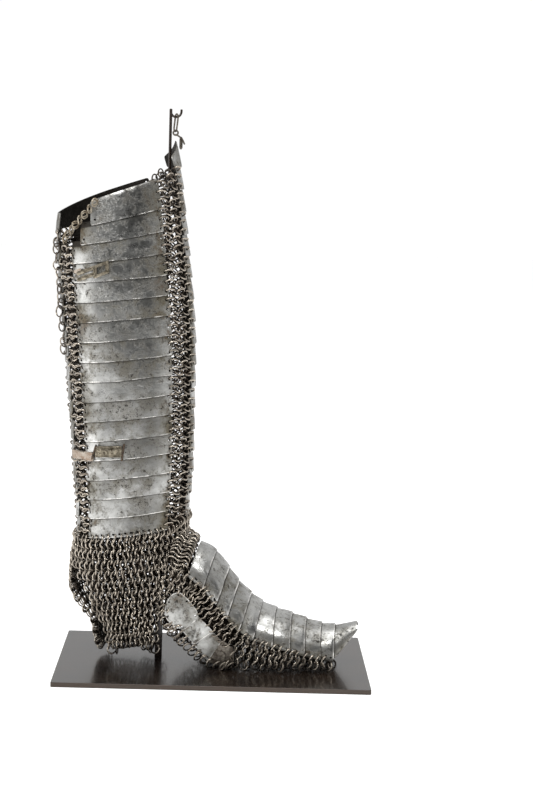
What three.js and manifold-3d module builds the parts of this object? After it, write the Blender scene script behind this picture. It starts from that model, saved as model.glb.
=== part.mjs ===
// A right-leg greave of lames and mail, hung on a plain display stand.
// Millimetres, +Z up. The origin is the centre of the base plate's underside,
// +X points to the toe and -Y to the outer side of the leg.
import * as THREE from 'three';
import { mergeVertices } from 'three/addons/utils/BufferGeometryUtils.js';
import Module from 'manifold-3d';

const wasm = await Module();
wasm.setup();

// Stand
const BASE_LENGTH = 320;
const BASE_WIDTH = 200;
const BASE_THICKNESS = 5;
const POST_X = -57;
const POST_Y = 0;
const POST_BAR = 7.6;
const POST_BAR_HEIGHT = 130;
const ROD_RADIUS = 1.5;
const ROD_TOP = 574;
const FORK_WIRE = 1.25;
const FORK_HALF = 5.8;
const FORK_ARM = 2.4;
const FORK_TURN = THREE.MathUtils.degToRad(25);

// Leg and foot frames, both standing on the base plate under the ankle
const ANKLE_X = -87.5;
const ANKLE_Y = 8;
const LEG_YAW = THREE.MathUtils.degToRad(8);
const FOOT_YAW = THREE.MathUtils.degToRad(-5);
const SECTION_POWER = 2 / 2.3;

// Leg sections from the heel up: height, backward lean, half depth, half width
const LEG_SECTIONS = [
  [0, 7, 33, 38],
  [17, 9, 41.5, 41],
  [40, 6.5, 44.5, 45],
  [68, 0, 58.5, 48],
  [101, 0, 60, 48],
  [134, 0, 55.5, 45],
  [196, 0, 60, 49],
  [270, -3, 63, 54],
  [342, -7, 66, 57],
  [404, -13, 66, 58],
  [470, -19, 64, 57],
  [545, -27, 62.5, 56],
];
const TWIST_TOP = 134;
const TWIST_BOTTOM = 60;

// Lames: upper laps lower, and each lower edge stands proud
const STEEL = 1.2;
const LAP = 4.5;
const PROUD = 2.7;
const GAP = 0.35;
const LAME_COUNT = 17;
const OUTER_FIRST = 460;
const OUTER_PITCH = 20.1;
const OUTER_FRONT = 59;
const OUTER_REAR = 142;
const REAR_CUT = [118, 130];
const RIM_MIDDLE = 488;
const RIM_SLOPE = 0.32;
const RIM_REAR_DROP = 8;
const SHIN_FIRST = 511;
const SHIN_PITCH = 22.3;
const SHIN_HALF = 29;
const KNEE_HALF = 35;
const KNEE_SHOULDER = 521;
const KNEE_TIP = 537;
const INNER_FRONT = -59;
const INNER_REAR = -136;
const CALF_FRONT = -161;
const CALF_REAR = -195;

// Foot: ridge points along the instep and the lames' joints along it
const RIDGE = [
  [50, 140], [60, 131], [88, 113], [113, 82], [138, 61], [170, 50], [201, 41.5], [216, 41], [238, 45],
];
const FOOT_JOINTS = [62, 88, 102, 113, 126, 138, 153, 170, 185, 201, 215, 238];
const ARCH_HEIGHT = 28;
const FOOT_HALF = 41;
const TOE_HALF = 30;
const TIP_HALF = 7;
const FOOT_LAP = 4;
const FOOT_PROUD = 2.6;
const ARCH_LEAN = 9;

// Outlines of the foot's side lames as length and height, heel to sole
const SIDE_LAMES = [
  [[41, 62], [43, 70], [48, 78], [56, 81], [65, 74], [75, 62], [77, 54], [61, 40], [47, 47], [42, 54]],
  [[75, 57], [92, 41], [73, 26], [58, 42]],
  [[89, 43], [101, 31], [87, 9], [69, 29]],
  [[98, 33], [104, 30], [113, 24], [114, 10], [101, 4], [88, 8], [85, 12]],
];
const SIDE_STEP = 0.7;
const BOSS_AT = [100, 15];
const BOSS_RADIUS = 6;
const BOSS_HEIGHT = 2.4;

// Mail: its thickness, its offset from the wall and the gap to the steel
const MAIL = 3;
const MAIL_OFFSET = -1.5;
const MAIL_GAP = 0.6;
const HOLE_CLEARANCE = 1.2;

// The ankle mail: heights of its lower edge by angle from the shin, and the
// angle of its free rear edge by the fraction of the way down
const ANKLE_REAR = -194;
const ANKLE_NEAR = [[0, 162], [0.2, 160], [0.45, 128], [1, 124]];
const INSTEP_EDGE = [[0, 138], [22, 131], [36, 113], [50, 94], [57, 76], [60, 30]];
const HEEL_OUTER = [[60, 14], [90, 20], [115, 13], [135, 5]];
const HEEL_INNER = [[60, 12], [100, 16], [140, 10], [195, 4]];

// The free strip of mail behind the outer column
const STRIP_REAR = 161;
const STRIP_TOP = 462;
const STRIP_OVERLAP = 12;

// The lower outline of the foot's side mail, toe to heel
const SOLE_EDGE = [
  [212, 3], [112, 2.5], [100, 2], [86, 5], [71, 14], [60, 25], [46, 37], [38, 52], [38, 70], [46, 92],
];

// Buckles lie over the outer column near its rear edge
const BUCKLE_INNER = 3.3;
const BUCKLE_OUTER = 5.3;
const BUCKLE_RISE = 0.5;
const FRAME_BAR = 1.8;
const FRAME_HALF = 5;

// The knee plate hangs from the fork by a long link, a small ring and an open hook
const LINK_WIRE = 0.95;
const LINK_HALF = 3.6;
const LINK_STRAIGHT = 10.5;
const LINK_AT = [5.3, 4.2, 560.2];
const LINK_TILT = 0.25;
const SMALL_RING = 2.4;
const SMALL_RING_AT = [5, 7.6, 550.2];
const HOOK = [[4.6, 7.6, 548.4], [7.6, 9.4, 547.4], [11.6, 11, 544.5], [14.2, 12, 539]];
const LEAF_RADIUS = 2.6;
const LEAF_STRAIGHT = 6;
const LEAF_AT = [10.6, 11.4, 540];
const LEAF_TILT = 0.3;

const polished = new THREE.MeshStandardMaterial({ color: 0xa9a8a2, metalness: 0.95, roughness: 0.32 });
const blackened = new THREE.MeshStandardMaterial({ color: 0x2b2522, metalness: 0.7, roughness: 0.25 });
const iron = new THREE.MeshStandardMaterial({ color: 0x4a3f35, metalness: 0.8, roughness: 0.5 });

const sin = (degrees) => Math.sin(THREE.MathUtils.degToRad(degrees));
const cos = (degrees) => Math.cos(THREE.MathUtils.degToRad(degrees));
const lerp = THREE.MathUtils.lerp;
const smooth = THREE.MathUtils.smoothstep;
const power = (value, exponent) => Math.sign(value) * Math.abs(value) ** exponent;

// Catmull-Rom values of a table whose first column is the argument
function tableAt(table, x) {
  const last = table.length - 2;
  let i = 0;
  while (i < last && x > table[i + 1][0]) i += 1;
  const before = table[Math.max(i - 1, 0)];
  const after = table[Math.min(i + 2, table.length - 1)];
  const [from, to] = [table[i], table[i + 1]];
  const span = to[0] - from[0];
  const t = (x - from[0]) / span;
  return from.slice(1).map((value, k) => {
    const next = to[k + 1];
    const slopeIn = (next - before[k + 1]) / (to[0] - before[0]) * span;
    const slopeOut = (after[k + 1] - value) / (after[0] - from[0]) * span;
    const cubic = 2 * value - 2 * next + slopeIn + slopeOut;
    const square = -3 * value + 3 * next - 2 * slopeIn - slopeOut;
    return ((cubic * t + square) * t + slopeIn) * t + value;
  });
}

// A point of the leg's wall. Angles grow from the shin (0) to the outer side (90).
function legPoint(angle, height, offset) {
  const [lean, depth, width] = tableAt(LEG_SECTIONS, height);
  const x = lean + (depth + offset) * power(cos(angle), SECTION_POWER);
  const y = -(width + offset) * power(sin(angle), SECTION_POWER);
  const twist = (FOOT_YAW - LEG_YAW) * (1 - smooth(height, TWIST_BOTTOM, TWIST_TOP));
  return new THREE.Vector3(
    x * Math.cos(twist) - y * Math.sin(twist),
    x * Math.sin(twist) + y * Math.cos(twist),
    height,
  );
}

function footHalf(x) {
  const toToe = smooth(x, 150, 216);
  const toTip = smooth(x, 208, 246);
  return lerp(lerp(FOOT_HALF, TOE_HALF, toToe), TIP_HALF, toTip);
}

const footArch = (x) => lerp(ARCH_HEIGHT, 4, THREE.MathUtils.clamp((x - 216) / 22, 0, 1));
const footLean = (x) => ARCH_LEAN * (1 - smooth(x, 125, 160)) - 1;

// A point of the foot's saddle. Angles grow from the ridge (0) to the outer edge (90).
function footPoint(angle, x, offset) {
  const [ridge] = tableAt(RIDGE, x);
  const arch = footArch(x);
  const drop = arch - (arch + offset) * power(cos(angle), SECTION_POWER);
  const y = -(footHalf(x) + offset) * power(sin(angle), SECTION_POWER);
  return new THREE.Vector3(x - footLean(x) * drop / arch, y, ridge - drop);
}

function geometryOf(points, triangles) {
  const geometry = new THREE.BufferGeometry();
  const positions = new Float32Array(points.flatMap((point) => point.toArray()));
  geometry.setAttribute('position', new THREE.BufferAttribute(positions, 3));
  geometry.setIndex(triangles);
  return geometry;
}

// A closed wall over a grid whose rows run down and whose columns run by growing
// angle. place(row, column, side) gives its points, side 1 being the outside.
function wall(rows, columns, place) {
  const points = [];
  const index = (row, column, side) => (side * rows + row) * columns + column;
  for (const side of [0, 1]) {
    for (let row = 0; row < rows; row += 1) {
      for (let column = 0; column < columns; column += 1) points.push(place(row, column, side));
    }
  }
  const triangles = [];
  const quad = (a, b, c, d) => triangles.push(a, c, b, a, d, c);
  for (let row = 0; row + 1 < rows; row += 1) {
    for (let column = 0; column + 1 < columns; column += 1) {
      const corners = (side) => [
        index(row, column, side), index(row + 1, column, side),
        index(row + 1, column + 1, side), index(row, column + 1, side),
      ];
      quad(...corners(1));
      quad(...corners(0).reverse());
    }
  }
  for (let row = 0; row + 1 < rows; row += 1) {
    quad(index(row, 0, 0), index(row + 1, 0, 0), index(row + 1, 0, 1), index(row, 0, 1));
    const end = columns - 1;
    quad(index(row, end, 1), index(row + 1, end, 1), index(row + 1, end, 0), index(row, end, 0));
  }
  for (let column = 0; column + 1 < columns; column += 1) {
    quad(index(0, column, 1), index(0, column + 1, 1), index(0, column + 1, 0), index(0, column, 0));
    const end = rows - 1;
    const [left, right] = [column, column + 1];
    quad(index(end, left, 0), index(end, right, 0), index(end, right, 1), index(end, left, 1));
  }
  return geometryOf(points, triangles);
}

function solidOf(geometry) {
  geometry.deleteAttribute('normal');
  geometry.deleteAttribute('uv');
  const merged = mergeVertices(geometry);
  return new wasm.Manifold(new wasm.Mesh({
    numProp: 3,
    vertProperties: merged.attributes.position.array,
    triVerts: new Uint32Array(merged.index.array),
  }));
}

function geometryFrom(solid) {
  const mesh = solid.getMesh();
  const geometry = new THREE.BufferGeometry();
  geometry.setAttribute('position', new THREE.BufferAttribute(mesh.vertProperties, 3));
  geometry.setIndex(new THREE.BufferAttribute(mesh.triVerts, 1));
  return geometry;
}

function join(...geometries) {
  const [first, ...others] = geometries.map(solidOf);
  return geometryFrom(others.reduce((whole, next) => whole.add(next), first));
}

function addMesh(group, name, geometry, material) {
  const mesh = new THREE.Mesh(geometry, material.clone());
  mesh.name = name;
  group.add(mesh);
  return mesh;
}

// A leg plate between two angles. Its top and bottom heights follow the angle.
function legPlate({
  from, to, columns, top, bottom, topInner = 0, bottomInner = PROUD - STEEL, thick = STEEL,
}) {
  return wall(2, columns, (row, column, side) => {
    const angle = lerp(from, to, column / (columns - 1));
    const inner = row === 0 ? topInner - thick : bottomInner;
    return legPoint(angle, row === 0 ? top(angle) : bottom(angle), inner + side * thick);
  });
}

// Lame edges rise toward the shin, steeply on the first lames
const edgeSlope = (number) => 0.13 + 0.16 * Math.max(0, (4 - number) / 3) ** 1.5;
const depthAt = (angle) => 60 * power(cos(angle), SECTION_POWER);
const outerEdge = (number) => (angle) => (
  OUTER_FIRST - OUTER_PITCH * (number - 1) + edgeSlope(number) * depthAt(angle)
);
const rim = (angle) => (
  RIM_MIDDLE + RIM_SLOPE * depthAt(angle) - RIM_REAR_DROP * ((1 - cos(angle)) / 2) ** 3
);

function outerLame(number) {
  const rear = REAR_CUT[number - 1] ?? OUTER_REAR;
  const above = number === 1 ? rim : (angle) => outerEdge(number - 1)(angle) + LAP;
  return legPlate({ from: OUTER_FRONT, to: rear, columns: 8, top: above, bottom: outerEdge(number) });
}

const shinEdge = (number) => (angle) => (
  SHIN_FIRST - SHIN_PITCH * (number - 1) - 3 * (1 - cos(angle))
);

function shinLame(number) {
  return legPlate({
    from: -SHIN_HALF, to: SHIN_HALF, columns: 6,
    top: (angle) => shinEdge(number - 1)(angle) + LAP,
    bottom: shinEdge(number),
  });
}

function kneeLame() {
  const top = (angle) => lerp(KNEE_TIP, KNEE_SHOULDER, Math.abs(angle) / KNEE_HALF);
  return legPlate({ from: -KNEE_HALF, to: KNEE_HALF, columns: 7, top, bottom: shinEdge(1), topInner: 1.5 });
}

// Lames made as one plate, with a stepped outside over a smooth inside
function joinedColumn(from, to, columns, first = 1, last = LAME_COUNT) {
  const rows = 2 * (last + 1 - first);
  return wall(rows, columns, (row, column, side) => {
    const angle = lerp(from, to, column / (columns - 1));
    const number = Math.floor(row / 2) + first;
    const isBottom = row % 2 === 1;
    const shoulder = number === 1 ? rim(angle) : outerEdge(number - 1)(angle) - GAP;
    const height = isBottom ? outerEdge(number)(angle) : shoulder;
    const outer = isBottom ? PROUD : 0;
    return legPoint(angle, height, side === 1 ? outer : -STEEL);
  });
}

// The top lame of the inner column runs on round the calf
const innerColumn = () => join(
  joinedColumn(INNER_REAR, INNER_FRONT, 8, 1),
  joinedColumn(CALF_REAR, INNER_REAR, 7, 1, 1),
);

function ankleBottom(angle) {
  const away = Math.abs(angle);
  if (away < 60) return tableAt(INSTEP_EDGE, away)[0];
  return tableAt(angle > 0 ? HEEL_OUTER : HEEL_INNER, away)[0];
}

function ankleTop(angle) {
  const toSide = smooth(Math.abs(angle), SHIN_HALF, OUTER_FRONT);
  const lames = lerp(shinEdge(LAME_COUNT)(angle), outerEdge(LAME_COUNT)(angle), toSide);
  return lames - MAIL_GAP;
}

function ankleSkirt() {
  const columns = 33;
  const rows = 7;
  return wall(rows, columns, (row, column, side) => {
    const down = row / (rows - 1);
    const [near] = tableAt(ANKLE_NEAR, down);
    const angle = lerp(ANKLE_REAR, near, column / (columns - 1));
    const height = lerp(ankleTop(angle), ankleBottom(angle), down);
    return legPoint(angle, height, MAIL_OFFSET + side * MAIL);
  });
}

// A mail strip between two columns
function mailStrip(from, to, top, bottom) {
  const rows = 12;
  const columns = 4;
  return wall(rows, columns, (row, column, side) => {
    const angle = lerp(from, to, column / (columns - 1));
    const height = lerp(top(angle), bottom(angle), row / (rows - 1));
    return legPoint(angle, height, MAIL_OFFSET + side * MAIL);
  });
}

const stripBottom = (angle) => ankleTop(angle) + 2 * MAIL_GAP;
const shinTop = (angle) => lerp(rim(angle), SHIN_FIRST, 0.6);
const calfTop = (angle) => outerEdge(1)(angle) - MAIL_GAP;

// The free strip along the outer column's rear edge runs on from the ankle mail
function ankleMail() {
  const bottom = (angle) => ankleTop(angle) - STRIP_OVERLAP;
  return join(ankleSkirt(), mailStrip(OUTER_REAR + 2, STRIP_REAR, () => STRIP_TOP, bottom));
}

// Foot lames are saddles from the instep to an upturned toe
function footLame(number) {
  const start = FOOT_JOINTS[number - 1] - FOOT_LAP;
  const end = FOOT_JOINTS[number];
  const columns = 11;
  return wall(2, columns, (row, column, side) => {
    const angle = lerp(-90, 90, column / (columns - 1));
    const inner = row === 0 ? -STEEL : FOOT_PROUD - STEEL;
    return footPoint(angle, row === 0 ? start : end, inner + side * STEEL);
  });
}

// A plate on the foot's side: an outline of length and height, bent to the
// foot. side is -1 on the outer side and 1 on the inner one.
function sidePlate(outline, side, inner, thick) {
  const shape = new THREE.Shape(outline.map(([x, z]) => new THREE.Vector2(x, z)));
  const geometry = new THREE.ExtrudeGeometry(shape, { depth: thick, bevelEnabled: false });
  const position = geometry.attributes.position;
  for (let i = 0; i < position.count; i += 1) {
    const [x, height, depth] = [position.getX(i), position.getY(i), position.getZ(i)];
    const outward = inner + (side < 0 ? depth : thick - depth);
    position.setXYZ(i, x, side * (footHalf(x) + outward), height);
  }
  return geometry;
}

function sideLames(side) {
  const plates = SIDE_LAMES.map((outline, i) => (
    sidePlate(outline, side, SIDE_STEP * (SIDE_LAMES.length - 1 - i), STEEL)
  ));
  const corners = side < 0 ? 12 : 4;
  const turn = side < 0 ? 0 : Math.PI / 4;
  const boss = Array.from({ length: corners }, (_, i) => {
    const angle = turn + 2 * Math.PI * i / corners;
    return [BOSS_AT[0] + BOSS_RADIUS * Math.cos(angle), BOSS_AT[1] + BOSS_RADIUS * Math.sin(angle)];
  });
  return join(...plates, sidePlate(boss, side, STEEL / 2, BOSS_HEIGHT));
}

// Grows an outline from its middle, to leave a gap round a plate
function grown(outline, by) {
  const share = 1 / outline.length;
  const middle = outline.reduce((sum, [x, z]) => [sum[0] + x * share, sum[1] + z * share], [0, 0]);
  return outline.map(([x, z]) => {
    const away = new THREE.Vector2(x - middle[0], z - middle[1]);
    const length = away.length();
    away.multiplyScalar((length + by) / length);
    return [middle[0] + away.x, middle[1] + away.y];
  });
}

// The mail from the saddle lames' lower edge to the sole, open round the side lames
function footMail(side) {
  const upper = FOOT_JOINTS.slice(0, -1).map((x) => {
    const edge = footPoint(90, x - FOOT_LAP, 0);
    return [edge.x, edge.z - 2 * MAIL_GAP];
  });
  const full = solidOf(sidePlate([...SOLE_EDGE, ...upper], side, MAIL_OFFSET, MAIL));
  const holes = SIDE_LAMES.map((outline) => (
    solidOf(sidePlate(grown(outline, HOLE_CLEARANCE), side, 2 * MAIL_OFFSET, 3 * MAIL))
  ));
  return geometryFrom(holes.reduce((mail, hole) => mail.subtract(hole), full));
}

// A bar bent round the leg between two angles, its middle rising by slope
function legBar({ from, to, height, slope = 0, width, inner, outer, columns = 5 }) {
  return wall(2, columns, (row, column, side) => {
    const angle = lerp(from, to, column / (columns - 1));
    const middle = height + slope * (depthAt(angle) - depthAt(from));
    return legPoint(angle, middle + (row === 0 ? 0.5 : -0.5) * width, side === 1 ? outer : inner);
  });
}

function upperBuckle() {
  const common = { slope: BUCKLE_RISE, inner: BUCKLE_INNER, outer: BUCKLE_OUTER };
  const frame = { from: 104, to: 117, height: 411.5, ...common, columns: 3 };
  return join(
    legBar({ from: 116, to: 134, height: 407, width: 9, ...common, columns: 4 }),
    legBar({ ...frame, height: frame.height + FRAME_HALF, width: FRAME_BAR }),
    legBar({ ...frame, height: frame.height - FRAME_HALF, width: FRAME_BAR }),
    legBar({ ...frame, to: 106, width: 2 * FRAME_HALF + FRAME_BAR }),
    legBar({ ...frame, from: 115, width: 2 * FRAME_HALF + FRAME_BAR, height: frame.height - 3 }),
  );
}

function lowerBuckle() {
  const common = { slope: 0.05, inner: BUCKLE_INNER, outer: BUCKLE_OUTER };
  return join(
    legBar({ from: 101.5, to: 127, height: 225, width: 12, ...common, columns: 4 }),
    legBar({ from: 99.5, to: 102, height: 224, width: 18, ...common, columns: 2 }),
    legBar({ from: 125, to: 131, height: 223, width: 15, ...common, columns: 2 }),
    legBar({ from: 130, to: 168, height: 218, width: 9, ...common, columns: 6 }),
  );
}

function ring(radius, wire, stretch = 0) {
  const geometry = new THREE.TorusGeometry(radius, wire, 6, 16);
  const position = geometry.attributes.position;
  for (let i = 0; i < position.count; i += 1) {
    const y = position.getY(i);
    const end = Math.abs(y) < wire / 10 ? 0 : Math.sign(y);
    position.setY(i, y + end * stretch / 2);
  }
  return geometry;
}

function placed(geometry, at, turn = [0, 0, 0]) {
  const matrix = new THREE.Matrix4().makeRotationFromEuler(new THREE.Euler(...turn));
  return geometry.applyMatrix4(matrix.setPosition(...at));
}

function wireAlong(points, radius, steps) {
  const section = new THREE.Shape();
  section.absarc(0, 0, radius, 0, 2 * Math.PI);
  const path = new THREE.CatmullRomCurve3(points.map((point) => new THREE.Vector3(...point)));
  const settings = { steps, extrudePath: path, curveSegments: 4, bevelEnabled: false };
  return new THREE.ExtrudeGeometry(section, settings);
}

// The fork's wire leaves the rod, dips in a half circle and rises to the rod's height
function forkPoint(step, steps) {
  const angle = Math.PI * step / steps;
  const along = FORK_HALF * (1 - Math.cos(angle));
  const drop = FORK_ARM + FORK_HALF * Math.sin(angle);
  return [along * Math.cos(FORK_TURN), along * Math.sin(FORK_TURN), ROD_TOP - drop];
}

function post() {
  const bottom = BASE_THICKNESS + GAP;
  const bar = new THREE.BoxGeometry(POST_BAR, POST_BAR, POST_BAR_HEIGHT);
  const rodLength = ROD_TOP - bottom - POST_BAR_HEIGHT / 2;
  const rod = new THREE.CylinderGeometry(ROD_RADIUS, ROD_RADIUS, rodLength, 10);
  const steps = 8;
  const fork = Array.from({ length: steps + 1 }, (_, step) => forkPoint(step, steps));
  const [endX, endY] = fork[steps];
  return join(
    placed(bar, [0, 0, bottom + POST_BAR_HEIGHT / 2]),
    placed(rod, [0, 0, ROD_TOP - rodLength / 2], [Math.PI / 2, 0, 0]),
    wireAlong([...fork, [endX, endY, ROD_TOP]], FORK_WIRE, 14),
  );
}

function kneeChain() {
  const upright = Math.PI / 2;
  const loop = ring(LINK_HALF, LINK_WIRE, LINK_STRAIGHT);
  const link = placed(loop, [0, 0, 0], [upright + LINK_TILT, upright, 0]);
  link.rotateZ(FORK_TURN);
  return join(
    placed(link, LINK_AT),
    placed(ring(SMALL_RING, LINK_WIRE), SMALL_RING_AT, [upright, 0, 0]),
    wireAlong(HOOK, LINK_WIRE, 8),
    placed(ring(LEAF_RADIUS, LINK_WIRE, LEAF_STRAIGHT), LEAF_AT, [upright, upright - LEAF_TILT, 0]),
  );
}

const standGroup = new THREE.Group();
const hangingGroup = new THREE.Group();
hangingGroup.position.set(POST_X, POST_Y, 0);
const legGroup = new THREE.Group();
legGroup.position.set(ANKLE_X, ANKLE_Y, BASE_THICKNESS);
legGroup.rotation.z = LEG_YAW;
const footGroup = new THREE.Group();
footGroup.position.set(ANKLE_X, ANKLE_Y, BASE_THICKNESS);
footGroup.rotation.z = FOOT_YAW;

const basePlate = addMesh(
  standGroup, 'base_plate', new THREE.BoxGeometry(BASE_LENGTH, BASE_WIDTH, BASE_THICKNESS), blackened,
);
basePlate.position.z = BASE_THICKNESS / 2;
addMesh(hangingGroup, 'post', post(), blackened);
addMesh(hangingGroup, 'knee_chain', kneeChain(), iron);

const twoDigits = (number) => String(number).padStart(2, '0');
for (let number = 1; number <= LAME_COUNT; number += 1) {
  addMesh(legGroup, `outer_lame_${twoDigits(number)}`, outerLame(number), polished);
}
addMesh(legGroup, 'shin_lame_01', kneeLame(), polished);
for (let number = 2; number <= LAME_COUNT; number += 1) {
  addMesh(legGroup, `shin_lame_${twoDigits(number)}`, shinLame(number), polished);
}
addMesh(legGroup, 'inner_column', innerColumn(), polished);
addMesh(legGroup, 'calf_column', joinedColumn(CALF_REAR, CALF_FRONT, 4, 2), polished);
addMesh(legGroup, 'upper_buckle', upperBuckle(), polished);
addMesh(legGroup, 'lower_buckle', lowerBuckle(), polished);
addMesh(legGroup, 'mail_ankle', ankleMail(), iron);
addMesh(legGroup, 'mail_calf', mailStrip(CALF_FRONT + 1.5, INNER_REAR - 1.5, calfTop, stripBottom), iron);
const shinOuter = mailStrip(SHIN_HALF + 2, OUTER_FRONT - 1.5, shinTop, stripBottom);
const shinInner = mailStrip(INNER_FRONT + 1.5, -SHIN_HALF - 2, shinTop, stripBottom);
addMesh(legGroup, 'mail_shin_outer', shinOuter, iron);
addMesh(legGroup, 'mail_shin_inner', shinInner, iron);

for (let number = 1; number < FOOT_JOINTS.length; number += 1) {
  addMesh(footGroup, `foot_lame_${twoDigits(number)}`, footLame(number), polished);
}
for (const [name, side] of [['outer', -1], ['inner', 1]]) {
  addMesh(footGroup, `foot_${name}_lames`, sideLames(side), polished);
  addMesh(footGroup, `mail_foot_${name}`, footMail(side), iron);
}

const part = new THREE.Group();
part.add(standGroup, hangingGroup, legGroup, footGroup);
export default part;
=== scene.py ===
"""A right-leg greave of steel lames and iron mail, hung on a plain display stand."""

import math

import bpy
import numpy as np
from bpy.props import FloatProperty, FloatVectorProperty, IntProperty, PointerProperty
from mathutils import Matrix, Vector
from mathutils.geometry import delaunay_2d_cdt


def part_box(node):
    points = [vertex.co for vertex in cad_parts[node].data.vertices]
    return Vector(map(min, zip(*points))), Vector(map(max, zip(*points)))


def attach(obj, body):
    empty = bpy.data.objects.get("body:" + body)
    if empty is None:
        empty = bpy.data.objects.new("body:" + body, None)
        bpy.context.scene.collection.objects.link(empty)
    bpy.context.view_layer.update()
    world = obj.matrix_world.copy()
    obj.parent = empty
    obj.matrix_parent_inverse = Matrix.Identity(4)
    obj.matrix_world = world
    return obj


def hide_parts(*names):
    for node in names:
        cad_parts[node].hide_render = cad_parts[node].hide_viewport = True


bl_info = {
    "name": "Lame and Mail Greave",
    "version": (1, 0, 0),
    "blender": (4, 5, 0),
    "location": "View3D > Sidebar > Greave",
    "description": "Builds a greave of overlapping lames and mail on its display stand",
    "category": "Add Mesh",
}

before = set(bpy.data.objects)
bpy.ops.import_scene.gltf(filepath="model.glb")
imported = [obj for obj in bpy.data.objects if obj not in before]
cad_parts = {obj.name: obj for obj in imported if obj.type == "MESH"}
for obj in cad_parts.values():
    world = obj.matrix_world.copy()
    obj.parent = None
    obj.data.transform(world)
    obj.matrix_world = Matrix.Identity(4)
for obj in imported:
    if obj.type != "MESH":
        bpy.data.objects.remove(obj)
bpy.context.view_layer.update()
base_low, base_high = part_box("base_plate")
post_low, post_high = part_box("post")

MM = 0.001
SECTION_POWER = 2 / 2.3
ANKLE = np.array([-87.5, 8.0, 5.0])
LEG_YAW = math.radians(8)
FOOT_YAW = math.radians(-5)
POST_X = -57.0

# Leg sections from the heel up: height, backward lean, half depth, half width
LEG_SECTIONS = np.array([
    (0, 7, 33, 38), (17, 9, 41.5, 41), (40, 6.5, 44.5, 45), (68, 0, 58.5, 48), (101, 0, 60, 48),
    (134, 0, 55.5, 45), (196, 0, 60, 49), (270, -3, 63, 54), (342, -7, 66, 57),
    (404, -13, 66, 58), (470, -19, 64, 57), (545, -27, 62.5, 56),
])
TWIST_BOTTOM, TWIST_TOP = 60, 134

LAME_COUNT = 17
LAP, PROUD = 4.5, 2.7
OUTER_FIRST, OUTER_PITCH = 460, 20.1
OUTER_FRONT, OUTER_REAR = 59, 142
REAR_CUT = (118, 130)
SHIN_FIRST, SHIN_PITCH, SHIN_HALF = 511, 22.3, 29
KNEE_HALF, KNEE_SHOULDER, KNEE_TIP = 35, 521, 537
INNER_FRONT, INNER_REAR = -59, -136
CALF_FRONT, CALF_REAR = -161, -195
RIM_MIDDLE, RIM_SLOPE, RIM_REAR_DROP = 488, 0.32, 8
LAME_BELLY, FOOT_BELLY = 0.35, 0.3
STAND_GAP = 0.35

# Holes for the rings, and how far below a cover a point counts as where nothing covers it
SEAM_ROWS, SEAM_COLUMNS, HOLE_INSET = 40, 5, 2.9
HOLE_ABOVE_EDGE, HOLE_BELOW_EDGE = 2.8, 2.2
SKIRT_SPACING, FOOT_SPACING = 6.3, 6.6
ABOVE_ALL = 1e3
BARE = 20.0

# Ridge points along the instep and the joints of the foot's lames
RIDGE = np.array([
    (50, 140), (60, 131), (88, 113), (113, 82), (138, 61), (170, 50), (201, 41.5), (216, 41), (238, 45),
])
FOOT_JOINTS = (62, 88, 102, 113, 126, 138, 153, 170, 185, 201, 215, 238)
FOOT_LAP, FOOT_PROUD = 4, 2.6
ARCH_HEIGHT, ARCH_LEAN = 28, 9
FOOT_HALF, TOE_HALF, TIP_HALF = 41, 30, 7
FOOT_PER_DEGREE = 0.66

# Outlines of the foot's side lames as length and height, heel to sole
SIDE_LAMES = (
    ((41, 62), (43, 70), (48, 78), (56, 81), (65, 74), (75, 62), (77, 54), (61, 40), (47, 47), (42, 54)),
    ((75, 57), (92, 41), (73, 26), (58, 42)),
    ((89, 43), (101, 31), (87, 9), (69, 29)),
    ((98, 33), (104, 30), (113, 24), (114, 10), (101, 4), (88, 8), (85, 12)),
)
SIDE_STEP, SIDE_CROWN = 0.7, 0.35
BOSS_AT, BOSS_RADIUS, BOSS_HEIGHT = (100, 15), 5.3, 2.2
SOLE_EDGE = (
    (212, 3), (112, 2.5), (100, 2), (86, 5), (71, 14), (60, 25), (46, 37), (38, 52), (38, 70), (46, 92),
)

# The ankle mail's lower edge by angle and its free rear edge by the way down
INSTEP_EDGE = np.array([(0, 138), (22, 131), (36, 113), (50, 94), (57, 76), (60, 30)])
HEEL_OUTER = np.array([(60, 14), (90, 20), (115, 13), (135, 5), (170, 5)])
HEEL_INNER = np.array([(60, 12), (100, 16), (140, 10), (195, 4)])
ANKLE_NEAR = np.array([(0, 162), (0.2, 160), (0.45, 128), (1, 124)])
ANKLE_REAR, ANKLE_FRONT = -194, 164

# Mail: counts, spacings and offsets from the wall, and how far the rings lean in degrees
SKIRT_ROWS, SKIRT_DROP, SKIRT_LEAN, EDGE_LEAN = 28, 1.2, 50, 60
LINING_OFFSET, FOOT_LINING_OFFSET, INSTEP_OFFSET = -8.5, -6.5, -4.0
COLLAR_AT, COLLAR_SPACING, COLLAR_LEAN = (54, 59.5, 65), 7.4, 46
FREE_COLUMNS, FREE_SPACING, FREE_TOP = 4, 5.6, 440
LOOSE_RINGS, LOOSE_ANGLE, LOOSE_TOP, LOOSE_BOTTOM = 16, 166, 438, 320
FOOT_ROWS, FOOT_LEAN, FOOT_EDGE_LEAN, FOOT_LINING_LEAN = 13, 46, 56, 42
INSTEP_ROWS, INSTEP_SPACING, INSTEP_BOTTOM, INSTEP_END = 10, 6.4, 58, 60
HEM_SPACING, HEM_LEAN, HEM_SLANT = 7.2, 50, 40

# Fork and buckles: sizes and heights, and how steeply the buckles rise toward the shin
FORK_HALF, FORK_ARM, FORK_TURN = 5.8, 2.4, math.radians(25)
LOOP_AT, BARS_AT, UPPER_RISE = 411.5, 407, 0.5
LOWER_AT, LOWER_RISE = 225, 0.05
UNDER_BUCKLE = 3.3
CHAIN_WIRE, RIM_WIRE = 0.9, 0.6
FLOOR_HALF, SENSOR_WIDTH, LIGHTS_AIM = 9, 36, (0, 0, 0.3)


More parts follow.
